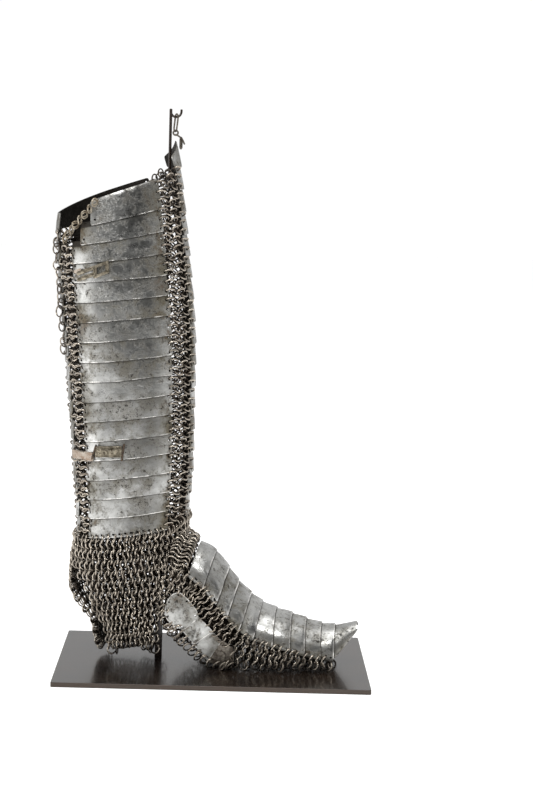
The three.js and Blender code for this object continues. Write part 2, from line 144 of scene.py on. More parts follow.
def power(value, exponent=SECTION_POWER):
    """A signed power, which rounds a section between an ellipse and a box."""
    return np.sign(value) * np.abs(value) ** exponent


def smooth(value, low, high):
    """An eased step from 0 at low to 1 at high."""
    t = np.clip((np.asarray(value, float) - low) / (high - low), 0, 1)
    return t * t * (3 - 2 * t)


def lerp(a, b, t):
    """The value a share t of the way from a to b."""
    return a + (b - a) * t


def arrays(*values):
    """The values as arrays of one shape."""
    return np.broadcast_arrays(*(np.asarray(value, float) for value in values))


def table_at(table, x):
    """Catmull-Rom values of a table whose first column is the argument."""
    x = np.asarray(x, float)
    last = len(table) - 2
    i = np.clip(np.searchsorted(table[:, 0], x, side="left") - 1, 0, last)
    before, after = np.maximum(i - 1, 0), np.minimum(i + 2, len(table) - 1)
    start, end = table[i], table[i + 1]
    span = (end - start)[..., 0]
    t = ((x - start[..., 0]) / span)[..., None]
    value, following = start[..., 1:], end[..., 1:]
    slope_in = (following - table[before][..., 1:]) * (span / (end - table[before])[..., 0])[..., None]
    slope_out = (table[after][..., 1:] - value) * (span / (table[after] - start)[..., 0])[..., None]
    cubic = 2 * value - 2 * following + slope_in + slope_out
    square = -3 * value + 3 * following - 2 * slope_in - slope_out
    return ((cubic * t + square) * t + slope_in) * t + value


def turned(x, y, angle):
    """x and y turned by an angle about the vertical."""
    return x * np.cos(angle) - y * np.sin(angle), x * np.sin(angle) + y * np.cos(angle)


def leg_point(angle, height, offset=0.0):
    """Points of the leg's wall in metres. Angles grow from the shin (0) to the outer side (90)."""
    angle, height, offset = arrays(angle, height, offset)
    lean, depth, width = np.moveaxis(table_at(LEG_SECTIONS, height), -1, 0)
    a = np.radians(angle)
    x = lean + (depth + offset) * power(np.cos(a))
    y = -(width + offset) * power(np.sin(a))
    twist = (FOOT_YAW - LEG_YAW) * (1 - smooth(height, TWIST_BOTTOM, TWIST_TOP))
    x, y = turned(x, y, twist + LEG_YAW)
    return (np.stack([x, y, height], -1) + ANKLE) * MM


def foot_half(x):
    """The foot's half width at a length."""
    return lerp(lerp(FOOT_HALF, TOE_HALF, smooth(x, 150, 216)), TIP_HALF, smooth(x, 208, 246))


def on_foot(x, y, z):
    """Points of the foot's own frame as points of the model, in metres."""
    x, y = turned(x, y, FOOT_YAW)
    return (np.stack([x, y, z], -1) + ANKLE) * MM


def saddle_profile(angle, x, offset=0.0):
    """The foot's saddle in the foot's own frame, in millimetres."""
    ridge = table_at(RIDGE, x)[..., 0]
    arch = lerp(ARCH_HEIGHT, 4, np.clip((x - 216) / 22, 0, 1))
    lean = ARCH_LEAN * (1 - smooth(x, 125, 160)) - 1
    a = np.radians(angle)
    drop = arch - (arch + offset) * power(np.cos(a))
    y = -(foot_half(x) + offset) * power(np.sin(a))
    return x - lean * drop / arch, y, ridge - drop


def foot_point(angle, x, offset=0.0):
    """Points of the foot's saddle. Angles grow from the ridge (0) to the outer edge (90)."""
    angle, x, offset = arrays(angle, x, offset)
    return on_foot(*saddle_profile(angle, x, offset))


def side_point(side):
    """The foot's side wall: side is -1 on the outer side and 1 on the inner one."""
    def point(x, z, offset=0.0):
        x, z, offset = arrays(x, z, offset)
        return on_foot(x, side * (foot_half(x) + offset), z)
    return point


def edge_slope(number):
    """How steeply a lame's edge rises toward the shin."""
    return 0.13 + 0.16 * max(0, (4 - number) / 3) ** 1.5


def depth_at(angle):
    """How far forward a point of the wall lies."""
    return 60 * power(np.cos(np.radians(angle)))


def outer_edge(number, angle):
    """Height of a side lame's lower edge."""
    return OUTER_FIRST - OUTER_PITCH * (number - 1) + edge_slope(number) * depth_at(angle)


def rim(angle):
    """Height of the greave's upper rim."""
    rear = ((1 - np.cos(np.radians(angle))) / 2) ** 3
    return RIM_MIDDLE + RIM_SLOPE * depth_at(angle) - RIM_REAR_DROP * rear


def shin_edge(number, angle):
    """Height of a shin lame's lower edge."""
    return SHIN_FIRST - SHIN_PITCH * (number - 1) - 3 * (1 - np.cos(np.radians(angle)))


def ankle_top(angle):
    """Height of the lames' last edge all round, where the ankle mail starts."""
    to_side = smooth(np.abs(angle), SHIN_HALF, OUTER_FRONT)
    return lerp(shin_edge(LAME_COUNT, angle), outer_edge(LAME_COUNT, angle), to_side)


def ankle_bottom(angle):
    """Height of the ankle mail's lower edge."""
    away = np.abs(angle)
    heel = np.where(
        np.asarray(angle) > 0, table_at(HEEL_OUTER, away)[..., 0], table_at(HEEL_INNER, away)[..., 0],
    )
    return np.where(away < 60, table_at(INSTEP_EDGE, away)[..., 0], heel)


def mesh_object(name, points, faces, attributes=(), sharp=40):
    """A new object from points in metres, faces, and named point values."""
    mesh = bpy.data.meshes.new(name)
    mesh.from_pydata(np.asarray(points).tolist(), [], faces)
    for key, values in dict(attributes).items():
        mesh.attributes.new(key, "FLOAT", "POINT").data.foreach_set("value", np.asarray(values, np.float32))
    mesh.validate()
    mesh.polygons.foreach_set("use_smooth", np.ones(len(mesh.polygons), bool))
    mesh.set_sharp_from_angle(angle=math.radians(sharp))
    made = bpy.data.objects.new(name, mesh)
    bpy.context.scene.collection.objects.link(made)
    return made


def finish_piece(piece, material, slot, *nodes):
    """Gives a piece its material and its place in the model."""
    piece.data.materials.clear()
    piece.data.materials.append(material)
    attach(piece, "root")
    if nodes:
        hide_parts(*nodes)
    return piece


def inside(points, outline):
    """Which points lie inside an outline."""
    x, y = points[:, 0][:, None], points[:, 1][:, None]
    a, b = outline, np.roll(outline, -1, 0)
    rise = np.where(a[:, 1] == b[:, 1], 1e-9, b[:, 1] - a[:, 1])
    crossing = a[:, 0] + (y - a[:, 1]) * (b[:, 0] - a[:, 0]) / rise
    straddles = (a[:, 1] > y) != (b[:, 1] > y)
    return (straddles & (x < crossing)).sum(1) % 2 == 1


def edge_distance(points, outline):
    """Each point's distance from an outline."""
    a = outline[None]
    along = np.roll(outline, -1, 0)[None] - a
    length = np.maximum((along ** 2).sum(-1), 1e-12)
    t = np.clip(((points[:, None] - a) * along).sum(-1) / length, 0, 1)
    return np.sqrt((((points[:, None] - a) - t[..., None] * along) ** 2).sum(-1)).min(1)


def run_along(line):
    """How far along a line each of its points lies."""
    return np.concatenate([[0], np.cumsum(np.linalg.norm(np.diff(line, axis=0), axis=1))])


def spaced(line, run, places):
    """The points that lie at these places along a line."""
    return np.stack([np.interp(places, run, line[:, k]) for k in range(line.shape[1])], -1)


def box_outline(low, high):
    """A rectangle between two corners."""
    return [(low[0], low[1]), (high[0], low[1]), (high[0], high[1]), (low[0], high[1])]


def circle(at, radius, corners=12, turn=0.0):
    """A round outline."""
    a = turn + np.arange(corners) * 2 * math.pi / corners
    return np.stack([at[0] + radius * np.cos(a), at[1] + radius * np.sin(a)], -1)


def rounded(outline, radius, steps=4):
    """An outline with its corners rounded."""
    outline = np.asarray(outline, float)
    before, after = np.roll(outline, 1, 0) - outline, np.roll(outline, -1, 0) - outline
    points = []
    for p, to_before, to_after in zip(outline, before, after):
        start = p + to_before * min(0.45, radius / np.linalg.norm(to_before))
        end = p + to_after * min(0.45, radius / np.linalg.norm(to_after))
        for t in np.linspace(0, 1, steps):
            points.append((1 - t) ** 2 * start + 2 * t * (1 - t) * p + t * t * end)
    return np.array(points)


def filled(outline, holes, spacing):
    """Triangles that fill an outline round its holes, over an even net of points."""
    low, high = outline.min(0), outline.max(0)
    axes = [np.arange(low[k] + spacing / 2, high[k], spacing) for k in (0, 1)]
    net = np.stack(np.meshgrid(*axes), -1).reshape(-1, 2)
    keep = inside(net, outline) & (edge_distance(net, outline) > 0.3 * spacing)
    for hole in holes:
        keep &= np.linalg.norm(net - hole.mean(0), axis=1) > np.linalg.norm(hole[0] - hole.mean(0)) + 0.9
    loops = [outline, *holes]
    edges, start = [], 0
    for loop in loops:
        edges += [(start + k, start + (k + 1) % len(loop)) for k in range(len(loop))]
        start += len(loop)
    corners = np.concatenate([*loops, net[keep]])
    made = delaunay_2d_cdt([Vector(p) for p in corners.tolist()], edges, [], 0, 1e-6)
    points = np.array([tuple(p) for p in made[0]])
    triangles = np.array(made[2])
    middles = points[triangles].mean(1)
    keep = inside(middles, outline)
    for hole in holes:
        keep &= ~inside(middles, hole)
    return points, triangles[keep]


def plate(name, outline, holes, surface, thick, values, bevel=0.22, spacing=4.5):
    """A closed plate over an outline, with bevelled edges and holes. surface maps points of
    the outline's plane and depths below the plate's face to metres, and values names the
    values that its points carry."""
    points, triangles = filled(np.asarray(outline, float), [np.asarray(h, float) for h in holes], spacing)
    a, b, c = (points[triangles[:, k]] for k in range(3))
    clockwise = (b - a)[:, 0] * (c - a)[:, 1] < (b - a)[:, 1] * (c - a)[:, 0]
    triangles[clockwise] = triangles[clockwise][:, ::-1]
    sides = {(t[k], t[(k + 1) % 3]) for t in triangles.tolist() for k in range(3)}
    border = [(i, j) for i, j in sorted(sides) if (j, i) not in sides]
    push = np.zeros_like(points)
    for i, j in border:
        along = points[j] - points[i]
        away = np.array([along[1], -along[0]]) / max(np.linalg.norm(along), 1e-9)
        push[i] += away
        push[j] += away
    length = np.linalg.norm(push, axis=1, keepdims=True)
    pushed = points + push * bevel / np.maximum(length, 1e-9) * (length > 0)
    rim_points = sorted({i for side in border for i in side})
    count = len(points)
    place = {i: k for k, i in enumerate(rim_points)}
    upper = [surface(points, np.zeros(count)), surface(points, np.full(count, thick))]
    lower = [surface(pushed[rim_points], np.full(len(rim_points), d)) for d in (bevel, thick - bevel)]
    vertices = np.concatenate([*upper, *lower])
    first, second = 2 * count, 2 * count + len(rim_points)
    faces = triangles.tolist() + (triangles[:, ::-1] + count).tolist()
    for i, j in border:
        p, q = place[i], place[j]
        faces.append((j, i, first + p, first + q))
        faces.append((first + q, first + p, second + p, second + q))
        faces.append((second + q, second + p, count + i, count + j))
    flat = np.concatenate([points, points, pushed[rim_points], pushed[rim_points]])
    counts = [count, count, len(rim_points), len(rim_points)]
    named = {"hidden": np.repeat([0.0, 1.0, 0.0, 1.0], counts)}
    named.update({key: np.broadcast_to(made, len(flat)) for key, made in values(flat).items()})
    a, b, c = (vertices[triangles[:, k]] for k in range(3))
    face_out = np.cross(b - a, c - a).sum(0) @ (upper[0] - upper[1])[triangles[:, 0]].sum(0)
    if face_out < 0:
        faces = [face[::-1] for face in faces]
    return mesh_object(name, vertices, faces, named)


def corner_cut(distance, radius):
    """How far a rounded corner cuts an edge back, by the distance from the side."""
    d = np.clip(distance, 0, radius)
    return radius - np.sqrt(radius ** 2 - (radius - d) ** 2)


def band_outline(start, end, top, bottom, radius=2.2):
    """The outline of a band between two side lines and two curved edges."""
    middle = np.linspace(start + radius, end - radius, max(3, int((end - start) / 4)))
    near = np.array([0, 0.12, 0.4, 0.8]) * radius
    a = np.concatenate([start + near, middle, end - near[::-1]])
    cut = corner_cut(np.minimum(a - start, end - a), radius)
    return np.concatenate([
        np.stack([a, bottom(a) + cut], -1), np.stack([a, top(a) - cut], -1)[::-1],
    ])


def wavy(random, size):
    """A small smooth wave along an edge, as hand-cut edges have."""
    shift, rate = random.uniform(0, 6.3, 3), random.uniform(0.04, 0.16, 3)
    return lambda a: size * sum(np.sin(rate[k] * a + shift[k]) for k in range(3)) / 2


def leg_band(name, covered, sides, edges, holes, tone):
    """One lame on the leg between two angles and two edge heights, covered on top or bare."""
    start, end = sides
    top, bottom = edges

    def surface(points, depth):
        angle, height = points[:, 0], points[:, 1]
        down = np.clip((top(angle) - height) / (top(angle) - bottom(angle)), 0, 1)
        return leg_point(angle, height, PROUD * down + LAME_BELLY * np.sin(math.pi * down) - depth)

    def values(flat):
        angle, height = flat[:, 0], flat[:, 1]
        return {
            "above_edge": height - bottom(angle),
            "below_cover": top(angle) - LAP - height if covered else BARE,
            "from_side": np.minimum(angle - start, end - angle),
            "around": (angle - start) / (end - start),
            "tone": tone,
        }

    outline = band_outline(start, end, top, bottom)
    punched = [circle(at, sizes().hole_radius / MM) for at in holes]
    return plate(name, outline, punched, surface, sizes().steel / MM, values)


def seam_holes(line):
    """Hole heights down a column's side line, kept clear of the lames' edges."""
    edge, top = outer_edge, float(rim(line)) - 4.5
    if abs(line) == SHIN_HALF:
        edge, top = shin_edge, KNEE_SHOULDER - 11
    elif line == OUTER_REAR:
        top = float(outer_edge(2, line)) - 4
    elif line in (CALF_FRONT, INNER_REAR):
        top = float(outer_edge(1, line)) - 4
    edges = [float(edge(number, line)) for number in range(1, LAME_COUNT + 1)]
    placed = []
    for height in np.linspace(top, edges[-1] + 5, SEAM_ROWS):
        for upper, lower in zip([ABOVE_ALL, *edges], edges):
            if lower < height <= upper:
                lowest = lower + HOLE_ABOVE_EDGE
                height = min(max(height, lowest), max(upper - HOLE_BELOW_EDGE, lowest))
                break
        placed.append(height)
    return np.array(placed)


def lame_holes(edge, number, line, inward):
    """The holes of one lame along one of its side lines."""
    low, high = edge(number, line), edge(number - 1, line) if number > 1 else ABOVE_ALL
    return [(line + inward * HOLE_INSET, h) for h in seam_holes(line) if low < h < high]


def skirt_angles():
    """Even places of the ankle mail's rings round the leg."""
    fine = np.linspace(ANKLE_REAR, ANKLE_FRONT, 1500)
    run = run_along(leg_point(fine, np.full(len(fine), 100.0)))
    count = int(run[-1] / (SKIRT_SPACING * MM))
    return np.interp((np.arange(count) + 0.5) / count * run[-1], run, fine)


def bottom_holes(start, end):
    """The holes of a last lame, one for each ring of the mail below it."""
    return [(a, ankle_top(a) + HOLE_INSET) for a in skirt_angles() if start + 2.5 < a < end - 2.5]


class Rings:
    """Rings of wire, placed on a surface and made into one mesh."""

    def __init__(self, shift):
        self.sizes = sizes()
        self.random = np.random.default_rng(self.sizes.seed + shift)
        self.rows = []

    def add(self, surface, u, v, tilt, across=False, slant=0.0, offset=0.0, loose=1.0, size=1.0):
        """Rings whose hanging axis runs along v, or along u where they go across."""
        u, v, tilt, slant, offset = arrays(np.atleast_1d(u), v, tilt, slant, offset)
        count = len(u)
        if not count:
            return
        wobble = self.random.normal(0, 1, (4, count)) * loose
        centre = surface(u, v, offset + 0.25 * wobble[0])
        out = surface(u, v, offset + 1.0) - surface(u, v, offset)
        along = surface(u + 0.5, v, offset) - surface(u - 0.5, v, offset)
        out /= np.linalg.norm(out, axis=1, keepdims=True)
        along -= (along * out).sum(1, keepdims=True) * out
        along /= np.linalg.norm(along, axis=1, keepdims=True)
        down = np.cross(out, along)
        first, hang = (down, along) if across else (along, down)
        turn = np.radians(slant + 5 * wobble[1])[:, None]
        first, hang = (
            first * np.cos(turn) + hang * np.sin(turn), hang * np.cos(turn) - first * np.sin(turn),
        )
        lean = np.radians(tilt + 4 * wobble[2])[:, None]
        normal = out * np.cos(lean) + first * np.sin(lean)
        radius = self.sizes.ring_radius * size * (1 + 0.02 * wobble[3])
        self.rows.append((centre, normal, hang, out, radius))

    def build(self, name, segments=18, sides=6):
        """One object of all the rings, with a lapped and riveted joint in each."""
        centre, normal, hang, out, radius = (np.concatenate(k) for k in zip(*self.rows))
        count = len(centre)
        other = np.cross(normal, hang)
        round_ring = np.arange(segments) * 2 * math.pi / segments
        round_wire = np.arange(sides) * 2 * math.pi / sides
        lap_at = self.random.uniform(0, 2 * math.pi, (count, 1))
        away = np.abs((round_ring - lap_at + math.pi) % (2 * math.pi) - math.pi)
        wire = self.sizes.wire_radius * (1 + 0.3 * np.exp(-(away / 0.28) ** 2))
        oval = 1 + 0.05 * np.cos(2 * (round_ring - lap_at))
        spoke = hang[:, None] * np.cos(round_ring)[:, None] + other[:, None] * np.sin(round_ring)[:, None]
        reach = radius[:, None, None] * oval[..., None] + wire[..., None] * np.cos(round_wire)
        lift = wire[..., None] * np.sin(round_wire) * np.ones((count, segments, sides))
        points = (
            centre[:, None, None] + spoke[:, :, None] * reach[..., None]
            + normal[:, None, None] * lift[..., None]
        )
        crest = ((points - centre[:, None, None]) * out[:, None, None]).sum(-1) / self.sizes.ring_radius
        i, j = np.meshgrid(np.arange(segments), np.arange(sides), indexing="ij")
        quad = np.stack([
            i * sides + j, (i + 1) % segments * sides + j,
            (i + 1) % segments * sides + (j + 1) % sides, i * sides + (j + 1) % sides,
        ], -1).reshape(-1, 4)
        faces = (quad[None] + np.arange(count)[:, None, None] * segments * sides).reshape(-1, 4)
        tone = np.repeat(self.random.uniform(0, 1, count), segments * sides)
        return mesh_object(
            name, points.reshape(-1, 3), faces[:, ::-1].tolist(), {"crest": crest.ravel(), "tone": tone}, 80,
        )


def tube(points, radius, sides=8, closed=False, flat=1.0):
    """Points and faces of a wire along a line, with rounded ends unless it is closed."""
    line = np.asarray(points, float)
    radii = np.full(len(line), float(radius))
    if not closed:
        first, last = line[0] - line[1], line[-1] - line[-2]
        first, last = first / np.linalg.norm(first), last / np.linalg.norm(last)
        cap = 0.35 * radius
        line = np.concatenate([[line[0] + first * cap], line, [line[-1] + last * cap]])
        radii = np.concatenate([[radius * 0.55], radii, [radius * 0.55]])
    ahead = np.roll(line, -1, 0) - np.roll(line, 1, 0)
    if not closed:
        ahead[0], ahead[-1] = line[1] - line[0], line[-1] - line[-2]
    ahead /= np.linalg.norm(ahead, axis=1, keepdims=True)
    seed = np.array([0.0, 0.0, 1.0]) if abs(ahead[0][2]) < 0.9 else np.array([1.0, 0.0, 0.0])
    side = np.cross(ahead[0], seed)
    sides_at = []
    for direction in ahead:
        side = side - (side @ direction) * direction
        side = side / np.linalg.norm(side)
        sides_at.append(side)
    side = np.array(sides_at)
    up = np.cross(ahead, side)
    a = np.arange(sides) * 2 * math.pi / sides
    ringed = side[:, None] * np.cos(a)[:, None] + up[:, None] * np.sin(a)[:, None] * flat
    vertices = (line[:, None] + ringed * radii[:, None, None]).reshape(-1, 3)
    count = len(line)
    faces = [
        (i % count * sides + j, i % count * sides + (j + 1) % sides,
         (i + 1) % count * sides + (j + 1) % sides, (i + 1) % count * sides + j)
        for i in range(count if closed else count - 1) for j in range(sides)
    ]
    if not closed:
        faces.append(tuple(range(sides))[::-1])
        faces.append(tuple((count - 1) * sides + j for j in range(sides)))
    return vertices, faces


def ball(at, radius, rings=5, sides=8):
    """Points and faces of a small bead."""
    at = np.asarray(at, float)
    rows = [at + np.array([0, 0, radius])]
    for i in range(1, rings):
        a = math.pi * i / rings
        for j in range(sides):
            b = 2 * math.pi * j / sides
            level = np.array([math.cos(b), math.sin(b), 0]) * math.sin(a)
            rows.append(at + radius * (level + (0, 0, math.cos(a))))
    rows.append(at - np.array([0, 0, radius]))
    faces = [(0, 1 + j, 1 + (j + 1) % sides) for j in range(sides)]
    for i in range(rings - 2):
        for j in range(sides):
            p, q = 1 + i * sides + j, 1 + i * sides + (j + 1) % sides
            faces.append((p, p + sides, q + sides, q))
    end = len(rows) - 1
    faces += [(end, end - sides + (j + 1) % sides, end - sides + j) for j in range(sides)]
    return np.array(rows), faces


def joined(parts):
    """Points and faces of several shapes as one."""
    points, faces, start = [], [], 0
    for vertices, made in parts:
        points.append(vertices)
        faces += [tuple(start + k for k in face) for face in made]
        start += len(vertices)
    return np.concatenate(points), faces


class Value:
    """One output socket, whose arithmetic adds Math nodes."""

    def __init__(self, graph, socket):
        self.graph, self.socket = graph, socket

    def math(self, operation, *values):
        """A Math node on these values."""
        return self.graph.add("ShaderNodeMath", {"operation": operation}, dict(enumerate(values)))

    def __add__(self, other):
        return self.math("ADD", self, other)

    def __radd__(self, other):
        return self.math("ADD", other, self)

    def __sub__(self, other):
        return self.math("SUBTRACT", self, other)

    def __rsub__(self, other):
        return self.math("SUBTRACT", other, self)

    def __mul__(self, other):
        return self.math("MULTIPLY", self, other)

    def __rmul__(self, other):
        return self.math("MULTIPLY", other, self)

    def between(self, low, high, start=0.0, end=1.0):
        """The value eased from start to end as it goes from low to high."""
        inputs = {"Value": self, "From Min": low, "From Max": high, "To Min": start, "To Max": end}
        return self.graph.add("ShaderNodeMapRange", {"interpolation_type": "SMOOTHSTEP"}, inputs)


class Graph:
    """The nodes of one material or of the world."""

    def __init__(self, tree):
        self.tree = tree
        tree.nodes.clear()

    def add(self, kind, settings=None, inputs=None, output=0):
        """A node of one type, with its settings, then its sockets' values or links."""
        node = self.tree.nodes.new(kind)
        for key, value in (settings or {}).items():
            if key == "stops":
                ramp = node.color_ramp
                for place, colour in value:
                    ramp.elements.new(place).color = (*colour, 1)
                ramp.elements.remove(ramp.elements[0])
                ramp.elements.remove(ramp.elements[-1])
            else:
                setattr(node, key, value)
        for key, value in (inputs or {}).items():
            socket = node.inputs[key]
            if isinstance(value, Value):
                self.tree.links.new(value.socket, socket)
            else:
                socket.default_value = value
        return Value(self, node.outputs[output]) if len(node.outputs) else None

    def mix(self, share, first, second):
        """Two colours mixed."""
        first, second = (c if isinstance(c, Value) else (*tuple(c)[:3], 1) for c in (first, second))
        settings = {"data_type": "RGBA", "clamp_factor": True}
        return self.add("ShaderNodeMix", settings, {0: share, 6: first, 7: second}, 2)

    def place(self):
        """Where a point is in the model, in metres."""
        return self.add("ShaderNodeTexCoord", output="Object")

    def noise(self, at, scale, detail=3.0, roughness=0.55, distortion=0.0):
        """Soft noise from 0 to 1."""
        inputs = {"Vector": at, "Scale": scale, "Detail": detail, "Roughness": roughness,
                  "Distortion": distortion}
        return self.add("ShaderNodeTexNoise", None, inputs)

    def stretched(self, at, factors):
        """A place with its axes scaled, for drawn-out marks."""
        inputs = {0: at, 1: factors}
        return self.add("ShaderNodeVectorMath", {"operation": "MULTIPLY"}, inputs)

    def measure(self, name):
        """A value stored on the mesh's points."""
        return self.add("ShaderNodeAttribute", {"attribute_name": name}, output="Fac")

    def bump(self, height, strength, distance):
        """A surface normal from a height."""
        inputs = {"Height": height, "Strength": strength, "Distance": distance}
        return self.add("ShaderNodeBump", None, inputs)

    def surface(self, inputs):
        """The finished surface, from one Principled shader."""
        shader = self.add("ShaderNodeBsdfPrincipled", None, inputs)
        self.add("ShaderNodeOutputMaterial", None, {"Surface": shader})


def finish_of(name, paint, *values):
    """The finish of this name, painted the first time that it is asked for."""
    if name not in bpy.data.materials:
        material = bpy.data.materials.new(name)
        material.use_nodes = True
        paint(Graph(material.node_tree), *values)
    return bpy.data.materials[name]


def steel():
    """The finish of the lames."""
    return finish_of("polished_steel", paint_steel)


def ring_iron():
    """The finish of the mail."""
    return finish_of("rubbed_ring_iron", paint_rings)


def fitting(name, *values):
    """The finish of a small fitting."""
    return finish_of(name, paint_fitting, *values)


def paint_steel(g):
    """Old polished steel: bright, with olive and brown patina and fine dark pits, a painted highlight along
    the lower edges, painted shadow under each covering edge and a painted dark reflection band.
    """
    look = looks()
    at = g.place()
    tone, hidden = g.measure("tone"), g.measure("hidden")
    above, below, from_side = g.measure("above_edge"), g.measure("below_cover"), g.measure("from_side")
    clouds = g.noise(at, 24, 5, 0.6)
    stains = g.noise(at, 70, 6, 0.7, 0.4)
    streaks = g.noise(g.stretched(at, (40, 40, 260)), 1.0, 4, 0.6)
    grain = g.noise(at, 620, 3, 0.6)
    pits = g.noise(at, 300, 5, 0.75).between(0.54, 0.62)
    specks = g.noise(at, 760, 3, 0.65).between(0.55, 0.63)
    pitted = pits * stains.between(0.42, 0.6) + specks * stains.between(0.36, 0.62) * 0.7
    side = from_side.between(2, 22, 1, 0)
    # Painted shadow: the steel just below a covering lame's lower edge is darkened nearly to black.
    painted_shadow_under_cover = below.between(0.2, 1.8, 1, 0)
    under = below.between(0.5, 9, 1, 0)
    patina = stains.between(0.4, 0.64) * 0.7 + side * clouds.between(0.34, 0.62) * 0.8 + under * 0.22
    patina = patina * tone.between(0, 1, 0.6, 1.2)
    around = g.measure("around")
    # Painted reflection: a darker band part way across each column stands in for the dark surroundings that
    # the steel reflects there.
    band = around.between(0.06, 0.28) * around.between(0.42, 0.66, 1, 0)
    painted_dark_reflection = band * clouds.between(0.3, 0.6, 0.45, 1)
    # Wear and painted highlight: a near-white line along each lame's lower edge, partly rubbed steel and
    # partly the light that the edge catches.
    wear_and_edge_highlight = above.between(0.3, 1.0, 1, 0) * g.noise(at, 95, 3, 0.6).between(0.42, 0.6)
    colour = g.mix(clouds.between(0.36, 0.64), look.steel_colour, look.steel_shade)
    colour = g.mix(painted_dark_reflection * 0.62, colour, look.steel_dulled)
    colour = g.mix(patina * 0.8, colour, look.patina_colour)
    colour = g.mix(side * stains.between(0.52, 0.68) * 0.55, colour, look.rust_colour)
    colour = g.mix(pitted * 0.9, colour, look.pit_colour)
    colour = g.mix(wear_and_edge_highlight * 0.85, colour, (0.86, 0.84, 0.8))
    colour = g.mix(painted_shadow_under_cover * 0.9, colour, look.pit_colour)
    colour = g.mix(hidden * 0.96, colour, look.pit_colour)
    rough = 0.2 + patina * 0.2 + pitted * 0.3 + streaks * 0.1 + grain * 0.06 + hidden * 0.3 - wear_and_edge_highlight * 0.08
    height = clouds * 1.3 + stains * 0.4 + streaks * 0.08 - pitted * 0.25 + grain * 0.03
    g.surface({
        "Base Color": colour, "Metallic": 1 - pitted * 0.45 - patina * 0.2 - hidden * 0.2,
        "Roughness": rough, "Normal": g.bump(height, 0.6, 0.0011),
    })


def paint_rings(g):
    """Hand-made iron rings: rubbed bright with a painted highlight on their crests, and darkened brown-black
    with painted shade on their inward halves.
    """
    look = looks()
    at = g.place()
    tone, crest = g.measure("tone"), g.measure("crest")
    patches = g.noise(at, 38, 4, 0.6)
    scale = g.noise(at, 520, 4, 0.65)
    rust = patches.between(0.52, 0.66) * scale.between(0.38, 0.6)
    # Wear and painted highlight: each ring's outward crest is brightened, partly rubbed iron and partly the
    # light that the wire catches.
    rubbed = crest.between(0.1, 0.6) * scale.between(0.3, 0.5, 0.6, 1) * tone.between(0, 1, 1, 0.5)
    colour = g.mix(tone * 0.8, look.iron_colour, look.iron_shade)
    colour = g.mix(rubbed * 0.95, colour, look.iron_bright)
    # Painted shade: the inward half of each ring is darkened nearly to black.
    colour = g.mix(crest.between(-0.4, 0.25, 0.9, 0), colour, look.pit_colour)
    colour = g.mix(rust * 0.4, colour, look.rust_colour)
    colour = g.mix(scale.between(0.58, 0.7) * 0.6, colour, look.pit_colour)
    g.surface({
        "Base Color": colour, "Metallic": 0.95 - rust * 0.4,
        "Roughness": 0.24 - rubbed * 0.05 + rust * 0.25 + tone * 0.08,
        "Normal": g.bump(scale, 0.45, 0.0004),
    })


def paint_fitting(g, first, second, metallic, roughness, scale, relief, marks=(0.02, 0.015, 0.01)):
    """Two mottled colours with marks over them, for the small fittings."""
    at = g.place()
    mottle = g.noise(at, scale, 5, 0.65)
    grain = g.noise(at, scale * 9, 3, 0.6)
    colour = g.mix(mottle.between(0.36, 0.64), first, second)
    colour = g.mix(grain.between(0.52, 0.7) * 0.6, colour, marks)
    g.surface({
        "Base Color": colour, "Metallic": metallic - grain.between(0.52, 0.7) * 0.25 * metallic,
        "Roughness": roughness + mottle * 0.15 + grain * 0.1,
        "Normal": g.bump(mottle * 0.6 + grain * 0.4, 0.5, relief),
    })


def paint_bronze(g):
    """The stand's glossy blackened plate, brown where the edges are rubbed."""
    look = looks()
    at = g.place()
    clouds = g.noise(at, 22, 5, 0.6)
    flecks = g.noise(g.stretched(at, (1, 2.2, 1)), 260, 4, 0.7)
    fine = g.noise(at, 1300, 2, 0.6)
    edge = g.measure("rubbed")
    colour = g.mix(clouds.between(0.35, 0.65), look.bronze_colour, look.bronze_shade)
    colour = g.mix(flecks.between(0.55, 0.72) * 0.7, colour, look.bronze_fleck)
    colour = g.mix(edge * fine.between(0.3, 0.6, 0.45, 0.9), colour, look.bronze_edge)
    g.surface({
        "Base Color": colour, "Metallic": 0.35 + edge * 0.4,
        "Roughness": 0.16 + flecks * 0.12 + edge * 0.2 + fine * 0.04,
        "Coat Weight": 0.35, "Coat Roughness": 0.08,
        "Normal": g.bump(flecks * 0.5 + fine * 0.3, 0.25, 0.0002),
    })


def paint_floor(g):
    """The studio's pale floor."""
    tone = g.noise(g.place(), 3, 2)
    g.surface({
        "Base Color": g.mix(tone, (0.86, 0.86, 0.86), (0.9, 0.9, 0.9)), "Roughness": 0.9,
        "Emission Color": (1, 1, 1, 1), "Emission Strength": 0.6,
    })


def metres(name, value, text, low, high):
    """A length in metres that a user can change."""
    return FloatProperty(
        name=name, description=text, default=value, min=low, max=high, subtype="DISTANCE",
        unit="LENGTH", precision=4,
    )


def turning(name, degrees, text):
    """An angle that a user can change."""
    return FloatProperty(
        name=name, description=text, default=math.radians(degrees), subtype="ANGLE", unit="ROTATION",
    )


def watts(name, value, text):
    """A light's power that a user can change."""
    return FloatProperty(name=name, description=text, default=value, min=0, unit="POWER")


def tint(name, value, text):
    """A colour that a user can change."""
    return FloatVectorProperty(
        name=name, description=text, default=value, size=3, min=0, max=1, subtype="COLOR",
    )


